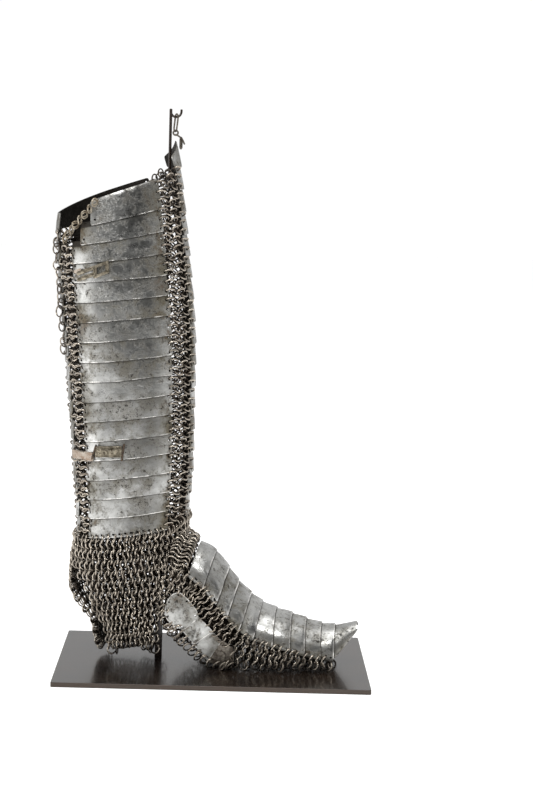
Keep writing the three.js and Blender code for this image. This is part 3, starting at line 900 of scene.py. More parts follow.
class GreaveSizes(bpy.types.PropertyGroup):
    """Sizes of the steel and the mail."""

    steel: metres("Steel", 1.2 * MM, "Thickness of the lames", 0.0005, 0.003)
    hole_radius: metres("Hole radius", 1.35 * MM, "Radius of the rings' holes in the lames", 0.0005, 0.002)
    ring_radius: metres("Ring radius", 4.8 * MM, "Radius of a ring to the middle of its wire", 0.003, 0.007)
    wire_radius: metres("Wire radius", 0.8 * MM, "Radius of the rings' wire", 0.0004, 0.0012)
    row_pitch: metres("Row pitch", 5.6 * MM, "Distance from one row of rings to the next", 0.004, 0.009)
    fray: FloatProperty(
        name="Fray", description="How loosely the rings of the free edges hang", default=1.6, min=0, max=3,
    )
    seed: IntProperty(name="Seed", description="Seed of the hand-made unevenness", default=7, min=0)


class GreaveLooks(bpy.types.PropertyGroup):
    """Colours of the metals and the leather."""

    steel_colour: tint("Steel", (0.52, 0.52, 0.505), "Polished steel")
    steel_shade: tint("Steel shade", (0.29, 0.29, 0.28), "Duller areas of the steel")
    # Colour of the painted dark reflection band down the outer lames.
    steel_dulled: tint("Dulled steel", (0.14, 0.138, 0.13), "The darker band down the outer lames")
    patina_colour: tint("Patina", (0.15, 0.135, 0.1), "Olive patina near the edges")
    rust_colour: tint("Rust", (0.13, 0.08, 0.05), "Brown rust")
    # This colour also paints the shade under the lames' covering edges and on the rings' inward halves.
    pit_colour: tint("Pits", (0.022, 0.018, 0.014), "Dark pits and the lames' insides")
    iron_colour: tint("Iron", (0.12, 0.1, 0.082), "Iron of the rings")
    iron_shade: tint("Iron shade", (0.06, 0.05, 0.04), "Darker rings")
    # Colour of the rings' crests: rubbed iron with a painted highlight.
    iron_bright: tint("Rubbed iron", (0.56, 0.5, 0.42), "The rings' rubbed crests")
    bronze_colour: tint("Bronze", (0.016, 0.012, 0.01), "The blackened stand")
    bronze_shade: tint("Bronze shade", (0.03, 0.02, 0.014), "Browner clouds on the stand")
    bronze_fleck: tint("Bronze flecks", (0.075, 0.045, 0.025), "Flecks in the stand's finish")
    bronze_edge: tint("Bronze edge", (0.07, 0.052, 0.04), "The stand's rubbed edges")
    leather_colour: tint("Leather", (0.5, 0.44, 0.37), "Remains of the straps")
    brass_colour: tint("Brass", (0.62, 0.42, 0.17), "The inner boss")
    silver_colour: tint("Buckle metal", (0.34, 0.3, 0.23), "Buckles and their beads")


class StandSizes(bpy.types.PropertyGroup):
    """Sizes of the display stand."""

    base_length: metres("Base length", base_high.x - base_low.x, "Length of the base plate", 0.2, 0.5)
    base_width: metres("Base width", base_high.y - base_low.y, "Width of the base plate", 0.1, 0.4)
    base_thickness: metres(
        "Base thickness", base_high.z - base_low.z, "Thickness of the base plate", 0.002, 0.02,
    )
    bar: metres("Bar", 7.6 * MM, "Side of the post's square bar", 0.004, 0.02)
    bar_height: metres("Bar height", 130 * MM, "Height of the post's square bar", 0.05, 0.2)
    rod_radius: metres("Rod radius", 1.5 * MM, "Radius of the post's rod", 0.001, 0.004)
    top: metres("Top", post_high.z, "Height of the rod and fork", 0.4, 0.7)


class StageSettings(bpy.types.PropertyGroup):
    """The camera and the studio round the greave."""

    lens: FloatProperty(
        name="Lens", description="Focal length", default=80.06, min=20, max=200, subtype="DISTANCE_CAMERA",
        unit="CAMERA",
    )
    eye: FloatVectorProperty(
        name="Camera", description="Where the camera stands", default=(0.009, -1.818, 0.52), size=3,
        subtype="TRANSLATION", unit="LENGTH",
    )
    yaw: turning("Yaw", 1.24, "Turn to the right")
    tilt: turning("Tilt", 7.5, "Turn downward")
    roll: turning("Roll", 1.78, "Turn about the view")
    key_power: watts("Key light", 11, "Power of the left softbox")
    fill_power: watts("Fill light", 2.5, "Power of the right softbox")
    front_power: watts("Front light", 34, "Power of the softbox above the camera")
    top_power: watts("Top light", 12, "Power of the overhead softbox")


def sizes():
    """The greave's sizes as the user has set them."""
    return bpy.context.scene.greave_sizes


def looks():
    """The colours as the user has set them."""
    return bpy.context.scene.greave_looks


def placed_object(name, data, at, turn):
    """A new object in the scene, at a place and turned."""
    made = bpy.data.objects.new(name, data)
    made.matrix_world = Matrix.Translation(at) @ turn.to_4x4()
    bpy.context.scene.collection.objects.link(made)
    return made


class GREAVE_OT_stage(bpy.types.Operator):
    """Make the camera, the floor, the lights and the studio's surroundings"""

    bl_idname = "greave.stage"
    bl_label = "Studio"

    def execute(self, context):
        settings = context.scene.greave_stage
        yaw, tilt, roll = settings.yaw, settings.tilt, settings.roll
        ahead = Vector((math.sin(yaw) * math.cos(tilt), math.cos(yaw) * math.cos(tilt), -math.sin(tilt)))
        right = Vector((math.cos(yaw), -math.sin(yaw), 0))
        up = right.cross(ahead)
        x = math.cos(roll) * right + math.sin(roll) * up
        y = math.cos(roll) * up - math.sin(roll) * right
        data = bpy.data.cameras.new("camera")
        data.lens, data.sensor_width = settings.lens, SENSOR_WIDTH
        turn = Matrix((x, y, -ahead)).transposed()
        context.scene.camera = placed_object("camera", data, settings.eye, turn)
        context.scene.view_settings.view_transform = "Standard"

        low, high = (-FLOOR_HALF, -FLOOR_HALF), (FLOOR_HALF, FLOOR_HALF)
        corners = [(*corner, 0) for corner in box_outline(low, high)]
        floor = mesh_object("floor", corners, [(0, 1, 2, 3)])
        floor.data.materials.append(finish_of("studio_floor", paint_floor))

        for name, at, size, energy in (
            ("key_softbox", (-1.45, -0.75, 0.5), (1.0, 2.4), settings.key_power),
            ("front_softbox", (-0.25, -1.7, 2.3), (1.1, 0.7), settings.front_power),
            ("fill_softbox", (1.5, -0.75, 0.7), (0.6, 1.3), settings.fill_power),
            ("top_softbox", (0.1, 0.0, 1.9), (1.4, 1.0), settings.top_power),
        ):
            light = bpy.data.lights.new(name, "AREA")
            light.shape, light.size, light.size_y, light.energy = "RECTANGLE", *size, energy
            aim = Vector(LIGHTS_AIM) - Vector(at)
            placed_object(name, light, at, aim.to_track_quat("-Z", "Y").to_matrix())

        world = bpy.data.worlds.new("studio")
        world.use_nodes = True
        context.scene.world = world
        g = Graph(world.node_tree)
        sky = g.add("ShaderNodeTexCoord", output="Generated")
        depth = g.add("ShaderNodeSeparateXYZ", None, {0: sky}, "Y")
        height = g.add("ShaderNodeSeparateXYZ", None, {0: sky}, "Z")
        shade = depth.between(-0.5, 0.5, 0.02, 0.75) + height.between(0.35, 1, 0, 0.12)
        seen = g.add("ShaderNodeLightPath", output="Is Camera Ray")
        level = shade * (1 - seen) + seen * 1.02
        shader = g.add("ShaderNodeBackground", None, {"Color": (1, 1, 1, 1), "Strength": level})
        g.add("ShaderNodeOutputWorld", None, {"Surface": shader})
        return {"FINISHED"}


class GREAVE_OT_stand(bpy.types.Operator):
    """Make the base plate, and the post with its rod and fork"""

    bl_idname = "greave.stand"
    bl_label = "Stand"

    def execute(self, context):
        stand = context.scene.greave_stand
        half = (stand.base_length / 2 / MM, stand.base_width / 2 / MM)
        thick = stand.base_thickness
        finish = finish_of("blackened_bronze", paint_bronze)

        def flat_plate(points, depth):
            return np.stack([points[:, 0] * MM, points[:, 1] * MM, thick - depth * MM], -1)

        corners = box_outline((-half[0], -half[1]), half)
        bevel = 0.35
        inset = [(x - math.copysign(bevel, x), y - math.copysign(bevel, y)) for x, y in corners]
        base = plate(
            "base", rounded(inset, 1.6, 5), [], flat_plate, thick / MM,
            lambda flat: {"rubbed": edge_distance(flat, np.array(corners)) < 0.3}, bevel, 24,
        )
        finish_piece(base, finish, "stand_metal", "base_plate")

        bottom = thick + STAND_GAP * MM
        side = stand.bar / MM / 2

        def bar_shell(points, depth):
            up = depth * MM + bottom
            return np.stack([POST_X * MM + points[:, 0] * MM, points[:, 1] * MM, up], -1)

        square = rounded(box_outline((-side, -side), (side, side)), 0.8, 4)
        bar = plate(
            "post_bar", square * 0.95, [], bar_shell, stand.bar_height / MM,
            lambda flat: {"rubbed": 0.12}, 0.19, 6,
        )
        finish_piece(bar, finish, "stand_metal", "post")
        heights = np.linspace(bottom + stand.bar_height - 5 * MM, stand.top - 0.5 * MM, 30)
        rod = [(POST_X * MM, 0, z) for z in heights]
        half_turn = FORK_HALF * MM
        fork = []
        for a in np.linspace(0, math.pi, 15):
            along = half_turn * (1 - math.cos(a))
            drop = FORK_ARM * MM + half_turn * math.sin(a)
            x, y = along * math.cos(FORK_TURN), along * math.sin(FORK_TURN)
            fork.append((POST_X * MM + x, y, stand.top - drop))
        fork.append((*fork[-1][:2], stand.top - 0.6 * MM))
        points, faces = joined([tube(rod, stand.rod_radius, 12), tube(fork, 1.2 * MM, 10)])
        wire = mesh_object("post_rod", points, faces, {"rubbed": np.full(len(points), 0.15)})
        finish_piece(wire, finish, "stand_metal", "post")
        return {"FINISHED"}


def lame_column(prefix, shift, wave, edge, crown, sides_of, holes_of, node_of, first=1):
    """A column of lames from the rim to the ankle. edge and crown give heights, and the
    last three functions give a lame's sides, holes and node by its number."""
    random = np.random.default_rng(sizes().seed + shift)
    ripples = [wavy(random, wave) for _ in range(LAME_COUNT + 1)]
    for number in range(first, LAME_COUNT + 1):
        sides, holes = sides_of(number), holes_of(number)
        if number == LAME_COUNT:
            holes = [h for h in holes if h[1] > ankle_top(h[0]) + 6] + bottom_holes(*sides)

        def top(a):
            return crown(a) if number == 1 else edge(number - 1, a) + LAP + ripples[number - 1](a)

        def bottom(a):
            return edge(number, a) + ripples[number](a)

        name = f"{prefix}_plate_{number:02d}"
        lame = leg_band(name, number > 1, sides, (top, bottom), holes, random.uniform())
        finish_piece(lame, steel(), "lame_steel", node_of(number))


class GREAVE_OT_outer_lames(bpy.types.Operator):
    """Make the column of lames on the leg's outer side"""

    bl_idname = "greave.outer_lames"
    bl_label = "Outer lames"

    def execute(self, context):
        def sides(number):
            return OUTER_FRONT, REAR_CUT[number - 1] if number <= len(REAR_CUT) else OUTER_REAR

        def holes(number):
            made = lame_holes(outer_edge, number, OUTER_FRONT, 1)
            rear = sides(number)[1]
            if rear == OUTER_REAR:
                return made + lame_holes(outer_edge, number, rear, -1)
            return made + [(rear - 4, float(outer_edge(number, rear)) + 6)]

        lame_column("outer", 0, 0.22, outer_edge, rim, sides, holes, "outer_lame_{:02d}".format)
        return {"FINISHED"}


class GREAVE_OT_shin_lames(bpy.types.Operator):
    """Make the column of lames on the shin, with the pointed knee plate on top"""

    bl_idname = "greave.shin_lames"
    bl_label = "Shin lames"

    def execute(self, context):
        def sides(number):
            half = KNEE_HALF if number == 1 else SHIN_HALF
            return -half, half

        def holes(number):
            made = []
            for side in (-1, 1):
                made += lame_holes(shin_edge, number, side * SHIN_HALF, -side)
            if number == 1:
                made = [(a * (KNEE_HALF - 3) / (SHIN_HALF - 3), height - 1.5) for a, height in made]
                made.append((0, KNEE_TIP - 4.5))
            return made

        def knee(a):
            return lerp(KNEE_TIP, KNEE_SHOULDER, np.abs(a) / KNEE_HALF)

        lame_column("shin", 1, 0.2, shin_edge, knee, sides, holes, "shin_lame_{:02d}".format)
        return {"FINISHED"}


def back_column(prefix, shift, start, end, seams, first=1):
    """One of the two hidden columns. A top lame runs on round the calf."""
    def sides(number):
        return CALF_REAR if number == 1 else start, end

    def holes(number):
        return [h for line, inward in seams for h in lame_holes(outer_edge, number, line, inward)]

    lame_column(
        prefix, shift, 0.2, outer_edge, rim, sides, holes, lambda number: f"{prefix}_column", first,
    )


class GREAVE_OT_inner_lames(bpy.types.Operator):
    """Make the column of lames on the leg's inner side"""

    bl_idname = "greave.inner_lames"
    bl_label = "Inner lames"

    def execute(self, context):
        back_column("inner", 2, INNER_REAR, INNER_FRONT, ((INNER_FRONT, -1), (INNER_REAR, 1)))
        return {"FINISHED"}


class GREAVE_OT_calf_lames(bpy.types.Operator):
    """Make the narrow column of lames behind the calf"""

    bl_idname = "greave.calf_lames"
    bl_label = "Calf lames"

    def execute(self, context):
        back_column("calf", 3, CALF_REAR, CALF_FRONT, ((CALF_FRONT, -1),), 2)
        return {"FINISHED"}


def seam_strip(rings, first, second):
    """A strip of mail between two columns: its rings hang across the gap, and the
    outermost pass through the lames' holes."""
    inset = HOLE_INSET - rings.sizes.ring_radius / MM * 0.9
    heights = [seam_holes(line) for line in (first, second)]
    for column in range(SEAM_COLUMNS):
        share = column / (SEAM_COLUMNS - 1)
        angle = lerp(first - inset, second + inset, share)
        height = lerp(*heights, share)
        if column % 2:
            height = (height[1:] + height[:-1]) / 2
        at_edge = column in (0, SEAM_COLUMNS - 1)
        tilt, slant, offset = (60, 14, 1.0) if at_edge else (44, 0, 0.0)
        rings.add(leg_point, angle, height, (-1) ** column * tilt, across=True, slant=slant,
                  offset=offset, loose=1.1, size=1.06)


class GREAVE_OT_seam_mail(bpy.types.Operator):
    """Make the strips of mail that join the columns of lames"""

    bl_idname = "greave.seam_mail"
    bl_label = "Mail between columns"

    def execute(self, context):
        for name, first, second, shift in (
            ("shin_outer", SHIN_HALF, OUTER_FRONT, 11),
            ("shin_inner", INNER_FRONT, -SHIN_HALF, 12),
            ("calf", CALF_FRONT, INNER_REAR, 13),
        ):
            rings = Rings(shift)
            seam_strip(rings, first, second)
            if name != "calf":
                corner = np.sign(first) * np.array([42, 51])
                rings.add(leg_point, corner, [504, 498], 14, size=0.9, offset=-1.5)
            finish_piece(rings.build(f"rings_{name}"), ring_iron(), "mail_iron", f"mail_{name}")
        return {"FINISHED"}


class GREAVE_OT_ankle_mail(bpy.types.Operator):
    """Make the ankle's skirt of mail and the free strip behind the outer lames"""

    bl_idname = "greave.ankle_mail"
    bl_label = "Ankle mail"

    def execute(self, context):
        outer, inner, lining, free = (Rings(shift) for shift in (21, 22, 24, 23))
        angles = skirt_angles()
        step = np.diff(angles).mean() / 2
        pitch = sizes().row_pitch / MM
        for row in range(SKIRT_ROWS):
            a = angles + (step if row % 2 else 0)
            top = ankle_top(a)
            height = top - SKIRT_DROP - pitch * row
            down = (top - height) / (top - ankle_bottom(a))
            near = table_at(ANKLE_NEAR, np.clip(down, 0, 1))[..., 0]
            low = ankle_bottom(a) + np.where(np.abs(a) < 60, -3.5, 3.2)
            keep = (height > low) & (a < near)
            tilt, slant, offset = (EDGE_LEAN, -12, 1.3) if row == 0 else (SKIRT_LEAN * (-1) ** row, 0, 0.0)
            for rings, part in ((outer, a > 0), (inner, a <= 0)):
                chosen = keep & part
                rings.add(leg_point, a[chosen], height[chosen], tilt, slant=slant, offset=offset)
            chosen = keep & (a > 0) & (height > ankle_bottom(a) + 4)
            lining.add(leg_point, a[chosen] + step / 2, height[chosen] - 2.2, -tilt, offset=LINING_OFFSET)
        for rings, way in ((outer, 1), (inner, -1)):
            for row, x in enumerate(COLLAR_AT):
                across = np.arange(3.5 if row % 2 else 0, 88, COLLAR_SPACING) * way
                rings.add(foot_point, across, x, COLLAR_LEAN * (-1) ** row, offset=0.4, loose=1.8)
        heights = seam_holes(OUTER_REAR)
        spread = free.random.uniform(0, 1, (5, len(heights)))
        for column in range(FREE_COLUMNS):
            height = heights if column % 2 == 0 else (heights[1:] + heights[:-1]) / 2
            there = height < FREE_TOP
            if column == FREE_COLUMNS - 1:
                there &= spread[column][:len(height)] < 0.62
            tilt, slant, offset = (50, -16, 1.2) if column == 0 else (38 * (-1) ** column, 0, 0.0)
            angle = OUTER_REAR + 2.6 + FREE_SPACING * column
            free.add(leg_point, angle, height[there], tilt, across=True, slant=slant, offset=offset,
                     loose=1.0 + sizes().fray * column / 3)
        loose = free.random.uniform(0, 1, (3, LOOSE_RINGS))
        down = np.linspace(LOOSE_TOP, LOOSE_BOTTOM, LOOSE_RINGS)
        free.add(leg_point, LOOSE_ANGLE + 7 * loose[0], down + 4 * loose[1], 40 - 80 * loose[2],
                 offset=2 + 3 * loose[1], loose=3.0, size=1.1)
        for rings, word, detail in (
            (outer, "ankle_outer", ()), (lining, "ankle_lining", (14, 5)),
            (inner, "ankle_inner", ()), (free, "rear_strip", ()),
        ):
            finish_piece(rings.build(f"rings_{word}", *detail), ring_iron(), "mail_iron", "mail_ankle")
        return {"FINISHED"}


class GREAVE_OT_foot_lames(bpy.types.Operator):
    """Make the saddle lames from the instep to the upturned toe"""

    bl_idname = "greave.foot_lames"
    bl_label = "Foot lames"

    def execute(self, context):
        random = np.random.default_rng(sizes().seed + 4)
        half = 90 * FOOT_PER_DEGREE
        for number in range(1, len(FOOT_JOINTS)):
            covered = number > 1
            start = FOOT_JOINTS[number - 1] - (FOOT_LAP if covered else -10)
            end = FOOT_JOINTS[number]
            ripple = wavy(random, 0.18 if number < len(FOOT_JOINTS) - 1 else 0)
            tone = random.uniform()

            def surface(points, depth):
                down = np.clip((points[:, 1] - start) / (end - start), 0, 1)
                x = points[:, 1] + ripple(points[:, 0] * 2) * down
                proud = FOOT_PROUD * down + FOOT_BELLY * np.sin(math.pi * down) - depth
                return foot_point(points[:, 0] / FOOT_PER_DEGREE, x, proud)

            def values(flat):
                return {
                    "above_edge": (end - flat[:, 1]) * 1.05,
                    "below_cover": flat[:, 1] - start - FOOT_LAP if covered else BARE,
                    "from_side": half - np.abs(flat[:, 0]) + 2, "tone": tone,
                }

            outline = band_outline(
                -half, half, lambda a: np.full(len(a), float(end)),
                lambda a: np.full(len(a), float(start)), 2.0,
            )
            places = [x for x in np.arange(80, 222, FOOT_SPACING) if start + FOOT_LAP + 1 < x < end - 1.5]
            holes = [
                circle((side * (half - 2.8), x), sizes().hole_radius / MM)
                for x in places for side in (-1, 1)
            ]
            name = f"foot_plate_{number:02d}"
            lame = plate(name, outline, holes, surface, sizes().steel / MM, values)
            finish_piece(lame, steel(), "lame_steel", f"foot_lame_{number:02d}")
        return {"FINISHED"}


class GREAVE_OT_foot_side_lames(bpy.types.Operator):
    """Make the side lames of the foot, with their bosses"""

    bl_idname = "greave.foot_side_lames"
    bl_label = "Foot side lames"

    def execute(self, context):
        random = np.random.default_rng(sizes().seed + 5)
        brass = fitting("boss_brass", looks().brass_colour, (0.32, 0.2, 0.09), 0.95, 0.3, 240, 0.0003)
        # A dark iron that paints shade: the last side lame curves under into shade, and the outer boss sits
        # on it.
        iron = fitting("boss_iron", (0.09, 0.075, 0.06), (0.3, 0.27, 0.23), 0.9, 0.32, 200, 0.0003)
        for side, word in ((-1, "outer"), (1, "inner")):
            wall = side_point(side)
            for number, outline in enumerate(SIDE_LAMES, 1):
                raised = SIDE_STEP * (len(SIDE_LAMES) - number) + sizes().steel / MM
                middle = np.mean(outline, 0)
                from_middle = np.array(outline) - middle
                shape = rounded(middle + from_middle * 0.985, 1.8 if number > 1 else 3.0)
                tone = random.uniform(0, 0.6)

                def surface(points, depth):
                    away = np.clip(np.linalg.norm(points - middle, axis=1) / 18, 0, 1)
                    crown = SIDE_CROWN * (1 - away ** 2)
                    return wall(points[:, 0], points[:, 1], raised - SIDE_CROWN + crown - depth)

                def values(flat):
                    away = edge_distance(flat, shape)
                    return {"above_edge": away * 1.2, "below_cover": 9, "from_side": away + 2.5, "tone": tone}

                around = rounded(middle + from_middle * 0.82, 1.0, 2)
                last = number == len(SIDE_LAMES)
                holes = [] if last else [circle(p, 1.15, 10) for p in around[::3 if number == 1 else 2]]
                name = f"foot_{word}_side_{number}"
                lame = plate(name, shape, holes, surface, sizes().steel / MM, values, 0.2, 3.4)
                # The last side lame takes the dark iron as painted shade in place of steel.
                finish_piece(lame, iron if last else steel(), "lame_steel", f"foot_{word}_lames")

            def domed(points, depth):
                away = np.clip(np.linalg.norm(points - np.array(BOSS_AT), axis=1) / 5.6, 0, 1)
                dome = BOSS_HEIGHT + 0.9 * np.sqrt(1 - away ** 2 * 0.95)
                return wall(points[:, 0], points[:, 1], dome - depth)

            corners, turn = (20, 0.0) if side < 0 else (4, math.pi / 4)
            boss = plate(
                f"foot_{word}_boss", rounded(circle(BOSS_AT, BOSS_RADIUS, corners, turn), 0.5, 3),
                [circle(BOSS_AT, 0.8, 10)], domed, 2.0, lambda flat: {"tone": 0.5}, 0.4, 1.6,
            )
            # The outer boss takes the same dark iron as painted shade; the inner boss is brass.
            finish_piece(boss, iron if side < 0 else brass, "lame_steel", f"foot_{word}_lames")
        return {"FINISHED"}


class GREAVE_OT_foot_mail(bpy.types.Operator):
    """Make the mail between the foot's lames and round its sides"""

    bl_idname = "greave.foot_mail"
    bl_label = "Foot mail"

    def execute(self, context):
        lengths = np.linspace(58, 236, 400)
        x, _, z = saddle_profile(np.full(400, 90.0), lengths)
        upper = np.stack([x, z], -1)
        run = run_along(upper)
        region = np.concatenate([np.array(SOLE_EDGE, float), upper[lengths < 215]])
        pitch = sizes().row_pitch / MM
        for side, word in ((-1, "outer"), (1, "inner")):
            wall = side_point(side)
            rings = Rings(31 + side)
            for row in range(FOOT_ROWS):
                even = np.arange(0 if row % 2 else 3.3, run[-1] - 36, FOOT_SPACING)
                at = spaced(upper, run, even)
                along = spaced(upper, run, even + 1) - at
                along /= np.linalg.norm(along, axis=1, keepdims=True)
                down = np.stack([along[:, 1], -along[:, 0]], -1)
                at = at + down * (pitch * row + 0.8)
                keep = inside(at, region) & (edge_distance(at, region) > (0.0 if row == 0 else 2.2))
                keep |= (row < 2) & (at[:, 1] > 3.2)
                for outline in SIDE_LAMES:
                    shape = np.array(outline, float)
                    keep &= ~(inside(at, shape) & (edge_distance(at, shape) > 1.5))
                keep &= at[:, 1] > 2.8
                slope = -np.degrees(np.arctan2(along[:, 1], along[:, 0])) * side
                lean, offset = (FOOT_EDGE_LEAN, 1.4) if row == 0 else (FOOT_LEAN, 0.4)
                rings.add(wall, at[keep, 0], at[keep, 1], (-1) ** row * lean, slant=slope[keep],
                          offset=offset, loose=2.2)
                rings.add(wall, at[keep, 0] + 3.3, at[keep, 1], (-1) ** row * -FOOT_LINING_LEAN,
                          slant=slope[keep], offset=FOOT_LINING_OFFSET, loose=1.5, size=0.95)
            for row in range(INSTEP_ROWS):
                x = np.arange(31.0 if row % 2 else 34.2, INSTEP_END, INSTEP_SPACING)
                rings.add(wall, x, INSTEP_BOTTOM + pitch * row, (-1) ** row * SKIRT_LEAN,
                          offset=INSTEP_OFFSET, loose=1.6)
            hem = rounded(SOLE_EDGE[1:-1], 4, 4)
            hem_run = run_along(hem)
            even = np.arange(3, hem_run[-1] - 6, HEM_SPACING)
            at = spaced(hem, hem_run, even) + np.array([1.2, 2.8])
            rings.add(wall, at[:, 0], at[:, 1], HEM_LEAN, slant=HEM_SLANT * side, offset=1.8, loose=2.0)
            piece = rings.build(f"rings_foot_{word}")
            finish_piece(piece, ring_iron(), "mail_iron", f"mail_foot_{word}")
        return {"FINISHED"}


def bar_on_leg(name, sides, middle, width, rise, low, high, holes=(), corner=0.9):
    """A flat bar bent round the leg over the lames."""
    start, end = sides

    def surface(points, depth):
        height = middle + rise * (depth_at(points[:, 0]) - depth_at(start))
        return leg_point(points[:, 0], points[:, 1] + height, high - depth)

    box = rounded(box_outline((start, -width / 2), (end, width / 2)), corner)
    return plate(name, box, list(holes), surface, high - low, lambda flat: {"tone": 0.4}, 0.25, 3.0)


def beads_on_leg(sides, middle, rise, above, count, radius, shift):
    """A row of beads along a bar on the leg."""
    places = np.linspace(*sides, count)
    heights = middle + rise * (depth_at(places) - depth_at(sides[0])) + shift
    return [ball(p, radius * MM) for p in leg_point(places, heights, above)]


class GREAVE_OT_buckles(bpy.types.Operator):
    """Make the two strap buckles over the outer lames, with their beads and scraps of leather"""

    bl_idname = "greave.buckles"
    bl_label = "Buckles"

    def execute(self, context):
        silver, tan = looks().silver_colour, looks().leather_colour
        metal = fitting("buckle_metal", silver, (0.1, 0.085, 0.06), 0.95, 0.24, 210, 0.0004)
        leather = fitting(
            "strap_leather", tan, (0.3, 0.21, 0.15), 0.0, 0.62, 150, 0.0008, (0.1, 0.055, 0.03),
        )
        rise, under = UPPER_RISE, UNDER_BUCKLE
        hole = rounded(box_outline((106.2, -3.4), (114.2, 3.4)), 1.0)
        pieces = [bar_on_leg("upper_loop", (104, 117), LOOP_AT, 12, rise, 3.5, 5.3, [hole])]
        beads = []
        for number, shift in enumerate((3.1, -3.1), 1):
            name = f"upper_bar_{number}"
            pieces.append(bar_on_leg(name, (116, 134), BARS_AT + shift, 3.4, rise, under, 4.9))
            beads += beads_on_leg((117, 133), BARS_AT, rise, 4.95, 12, 0.85, shift)
        for place in (104.9, 116):
            for up in np.linspace(-5, 5, 7):
                height = LOOP_AT + rise * (depth_at(place) - depth_at(104)) + up
                beads.append(ball(leg_point(place, height, 5.3), 0.75 * MM))
        pieces.append(mesh_object("upper_beads", *joined(beads)))
        for piece in pieces:
            finish_piece(piece, metal, "buckle_steel", "upper_buckle")
        scrap = bar_on_leg("upper_leather", (130, 138), BARS_AT, 3.0, rise, under, 4.3, corner=1.2)
        finish_piece(scrap, leather, "buckle_steel", "upper_buckle")

        rise, beads = LOWER_RISE, []
        pieces = [bar_on_leg("lower_plate", (101.5, 127), LOWER_AT, 11, rise, under, 4.7)]
        for shift in (4.6, -4.6):
            beads += beads_on_leg((102.5, 126), LOWER_AT, rise, 4.9, 20, 0.78, shift)
        for shift in (-1.6, 1.6):
            beads += beads_on_leg((105, 123), LOWER_AT, rise, 4.6, 4, 1.25, shift)
        pieces.append(mesh_object("lower_beads", *joined(beads)))
        for piece in pieces:
            finish_piece(piece, metal, "buckle_steel", "lower_buckle")
        dark = fitting("buckle_iron", (0.05, 0.04, 0.032), (0.13, 0.09, 0.06), 0.85, 0.4, 260, 0.0004)
        slanted = leg_point(np.linspace(99.2, 101.6, 8), np.linspace(233, 216, 8), 4.4)
        pin = leg_point(np.linspace(125.5, 131, 8), np.linspace(230.5, 216, 8), 4.6)
        points, faces = joined([tube(slanted, 1.1 * MM), tube(pin, 1.7 * MM, flat=0.6)])
        finish_piece(mesh_object("lower_pins", points, faces), dark, "buckle_steel", "lower_buckle")
        strap = bar_on_leg("lower_strap", (130, 164), 218, 8.4, rise, under, 5.0, corner=1.5)
        finish_piece(strap, leather, "buckle_steel", "lower_buckle")
        return {"FINISHED"}


def link(at, half, straight, wire, turn, swing=0.0):
    """Points and faces of one oval link, turned by Euler angles and swung about the vertical."""
    a = np.linspace(0, 2 * math.pi, 28, endpoint=False)
    y = half * np.sin(a) + np.sign(np.sin(a)) * straight / 2
    flat = np.stack([half * np.cos(a), y, np.zeros(28)], -1)
    x, y, z = (Matrix.Rotation(angle, 3, axis) for angle, axis in zip(turn, "XYZ"))
    spin = Matrix.Rotation(swing, 3, "Z") @ x @ y @ z
    line = flat @ np.array(spin).T + np.array(at)
    return tube(line * MM, wire * MM, closed=True)


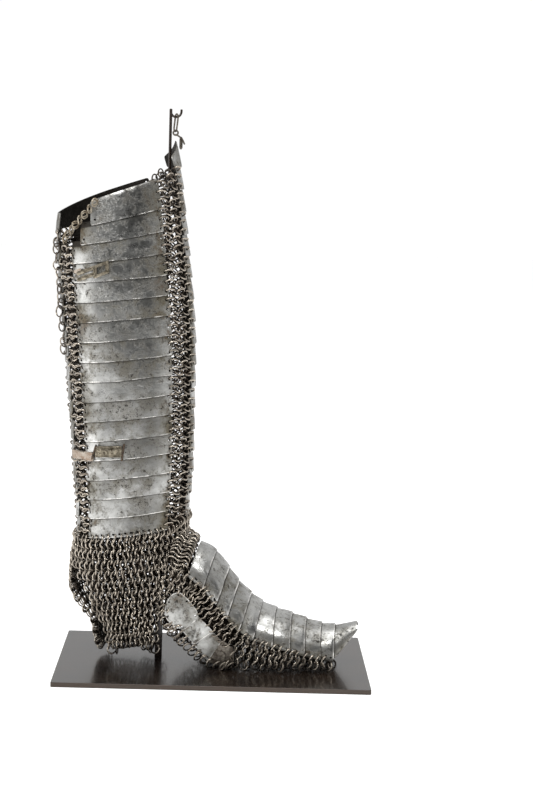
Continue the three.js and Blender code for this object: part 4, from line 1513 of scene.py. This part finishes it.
class GREAVE_OT_chains(bpy.types.Operator):
    """Make the links that hang the knee plate, and the chain at the rim's rear corner"""

    bl_idname = "greave.chains"
    bl_label = "Chains"

    def execute(self, context):
        iron = fitting("chain_iron", (0.2, 0.18, 0.15), (0.09, 0.075, 0.06), 0.9, 0.38, 260, 0.0004)
        wire, quarter = CHAIN_WIRE, math.pi / 2
        parts = [
            link((POST_X + 5.3, 4.2, 560.2), 3.6, 10.5, wire, (quarter + 0.25, quarter, 0), FORK_TURN),
            link((POST_X + 5, 7.6, 550.2), 2.4, 0, wire, (quarter, 0, 0)),
            link((POST_X + 10.6, 11.4, 540), 2.6, 6, wire, (quarter, quarter - 0.3, 0)),
        ]
        bends = np.array([(4.6, 7.6, 548.4), (7.6, 9.4, 547.4), (11.6, 11, 544.5), (14.2, 12, 539)])
        curve = spaced(bends, range(4), np.linspace(0, 3, 18))
        curve[1:-1] = (curve[:-2] + curve[1:-1] + curve[2:]) / 3
        parts.append(tube((curve + (POST_X, 0, 0)) * MM, wire * MM))
        finish_piece(mesh_object("knee_links", *joined(parts)), iron, "mail_iron", "knee_chain")

        pale = fitting("chain_pale", (0.5, 0.45, 0.36), (0.25, 0.2, 0.14), 0.9, 0.34, 260, 0.0004)
        parts = []
        for number, share in enumerate(np.arange(8) / 7):
            angle, height = lerp(112.0, 148.0, share), lerp(474.0, 436.0, share ** 0.9)
            at = leg_point(angle, height, 5.0) / MM
            out = leg_point(angle, height, 6.0) / MM - at
            heading = math.atan2(out[1], out[0])
            tilt = 0.85 if number % 2 else -0.5
            turn = (quarter + tilt * 0.4, 0.75 + tilt * 0.3, heading + quarter + tilt)
            for pair in (-0.9, 0.9):
                parts.append(link(at + out * pair * 0.4 + (0, 0, pair), 2.6, 1.8, RIM_WIRE, turn))
        finish_piece(mesh_object("rim_chain", *joined(parts)), pale, "mail_iron")
        return {"FINISHED"}


STEPS = ("stage", "stand", "outer_lames", "shin_lames", "inner_lames", "calf_lames", "seam_mail",
         "ankle_mail", "foot_lames", "foot_side_lames", "foot_mail", "buckles", "chains")


class GREAVE_PT_panel(bpy.types.Panel):
    """The greave's pieces and settings"""

    bl_idname = "GREAVE_PT_panel"
    bl_label = "Greave"
    bl_space_type = "VIEW_3D"
    bl_region_type = "UI"
    bl_category = "Greave"

    def draw(self, context):
        column = self.layout.column(align=True)
        for step in STEPS:
            column.operator(f"greave.{step}")
        for group in (
            context.scene.greave_stage, context.scene.greave_stand,
            context.scene.greave_sizes, context.scene.greave_looks,
        ):
            box = self.layout.box()
            for key in group.bl_rna.properties.keys():
                if key not in ("rna_type", "name"):
                    box.prop(group, key)


CLASSES = (
    GreaveSizes, GreaveLooks, StandSizes, StageSettings, GREAVE_OT_stage, GREAVE_OT_stand,
    GREAVE_OT_outer_lames, GREAVE_OT_shin_lames, GREAVE_OT_inner_lames, GREAVE_OT_calf_lames,
    GREAVE_OT_seam_mail, GREAVE_OT_ankle_mail, GREAVE_OT_foot_lames, GREAVE_OT_foot_side_lames,
    GREAVE_OT_foot_mail, GREAVE_OT_buckles, GREAVE_OT_chains, GREAVE_PT_panel,
)
GROUPS = {
    "greave_sizes": GreaveSizes, "greave_looks": GreaveLooks,
    "greave_stand": StandSizes, "greave_stage": StageSettings,
}


def register():
    """Add the classes and their settings."""
    for made in CLASSES:
        bpy.utils.register_class(made)
    for key, group in GROUPS.items():
        setattr(bpy.types.Scene, key, PointerProperty(type=group))


def unregister():
    """Take the settings and the classes away."""
    for key in GROUPS:
        delattr(bpy.types.Scene, key)
    for made in reversed(CLASSES):
        bpy.utils.unregister_class(made)


def main():
    """Make every piece in order."""
    register()
    for step in STEPS:
        getattr(bpy.ops.greave, step)()


if __name__ == "__main__":
    main()
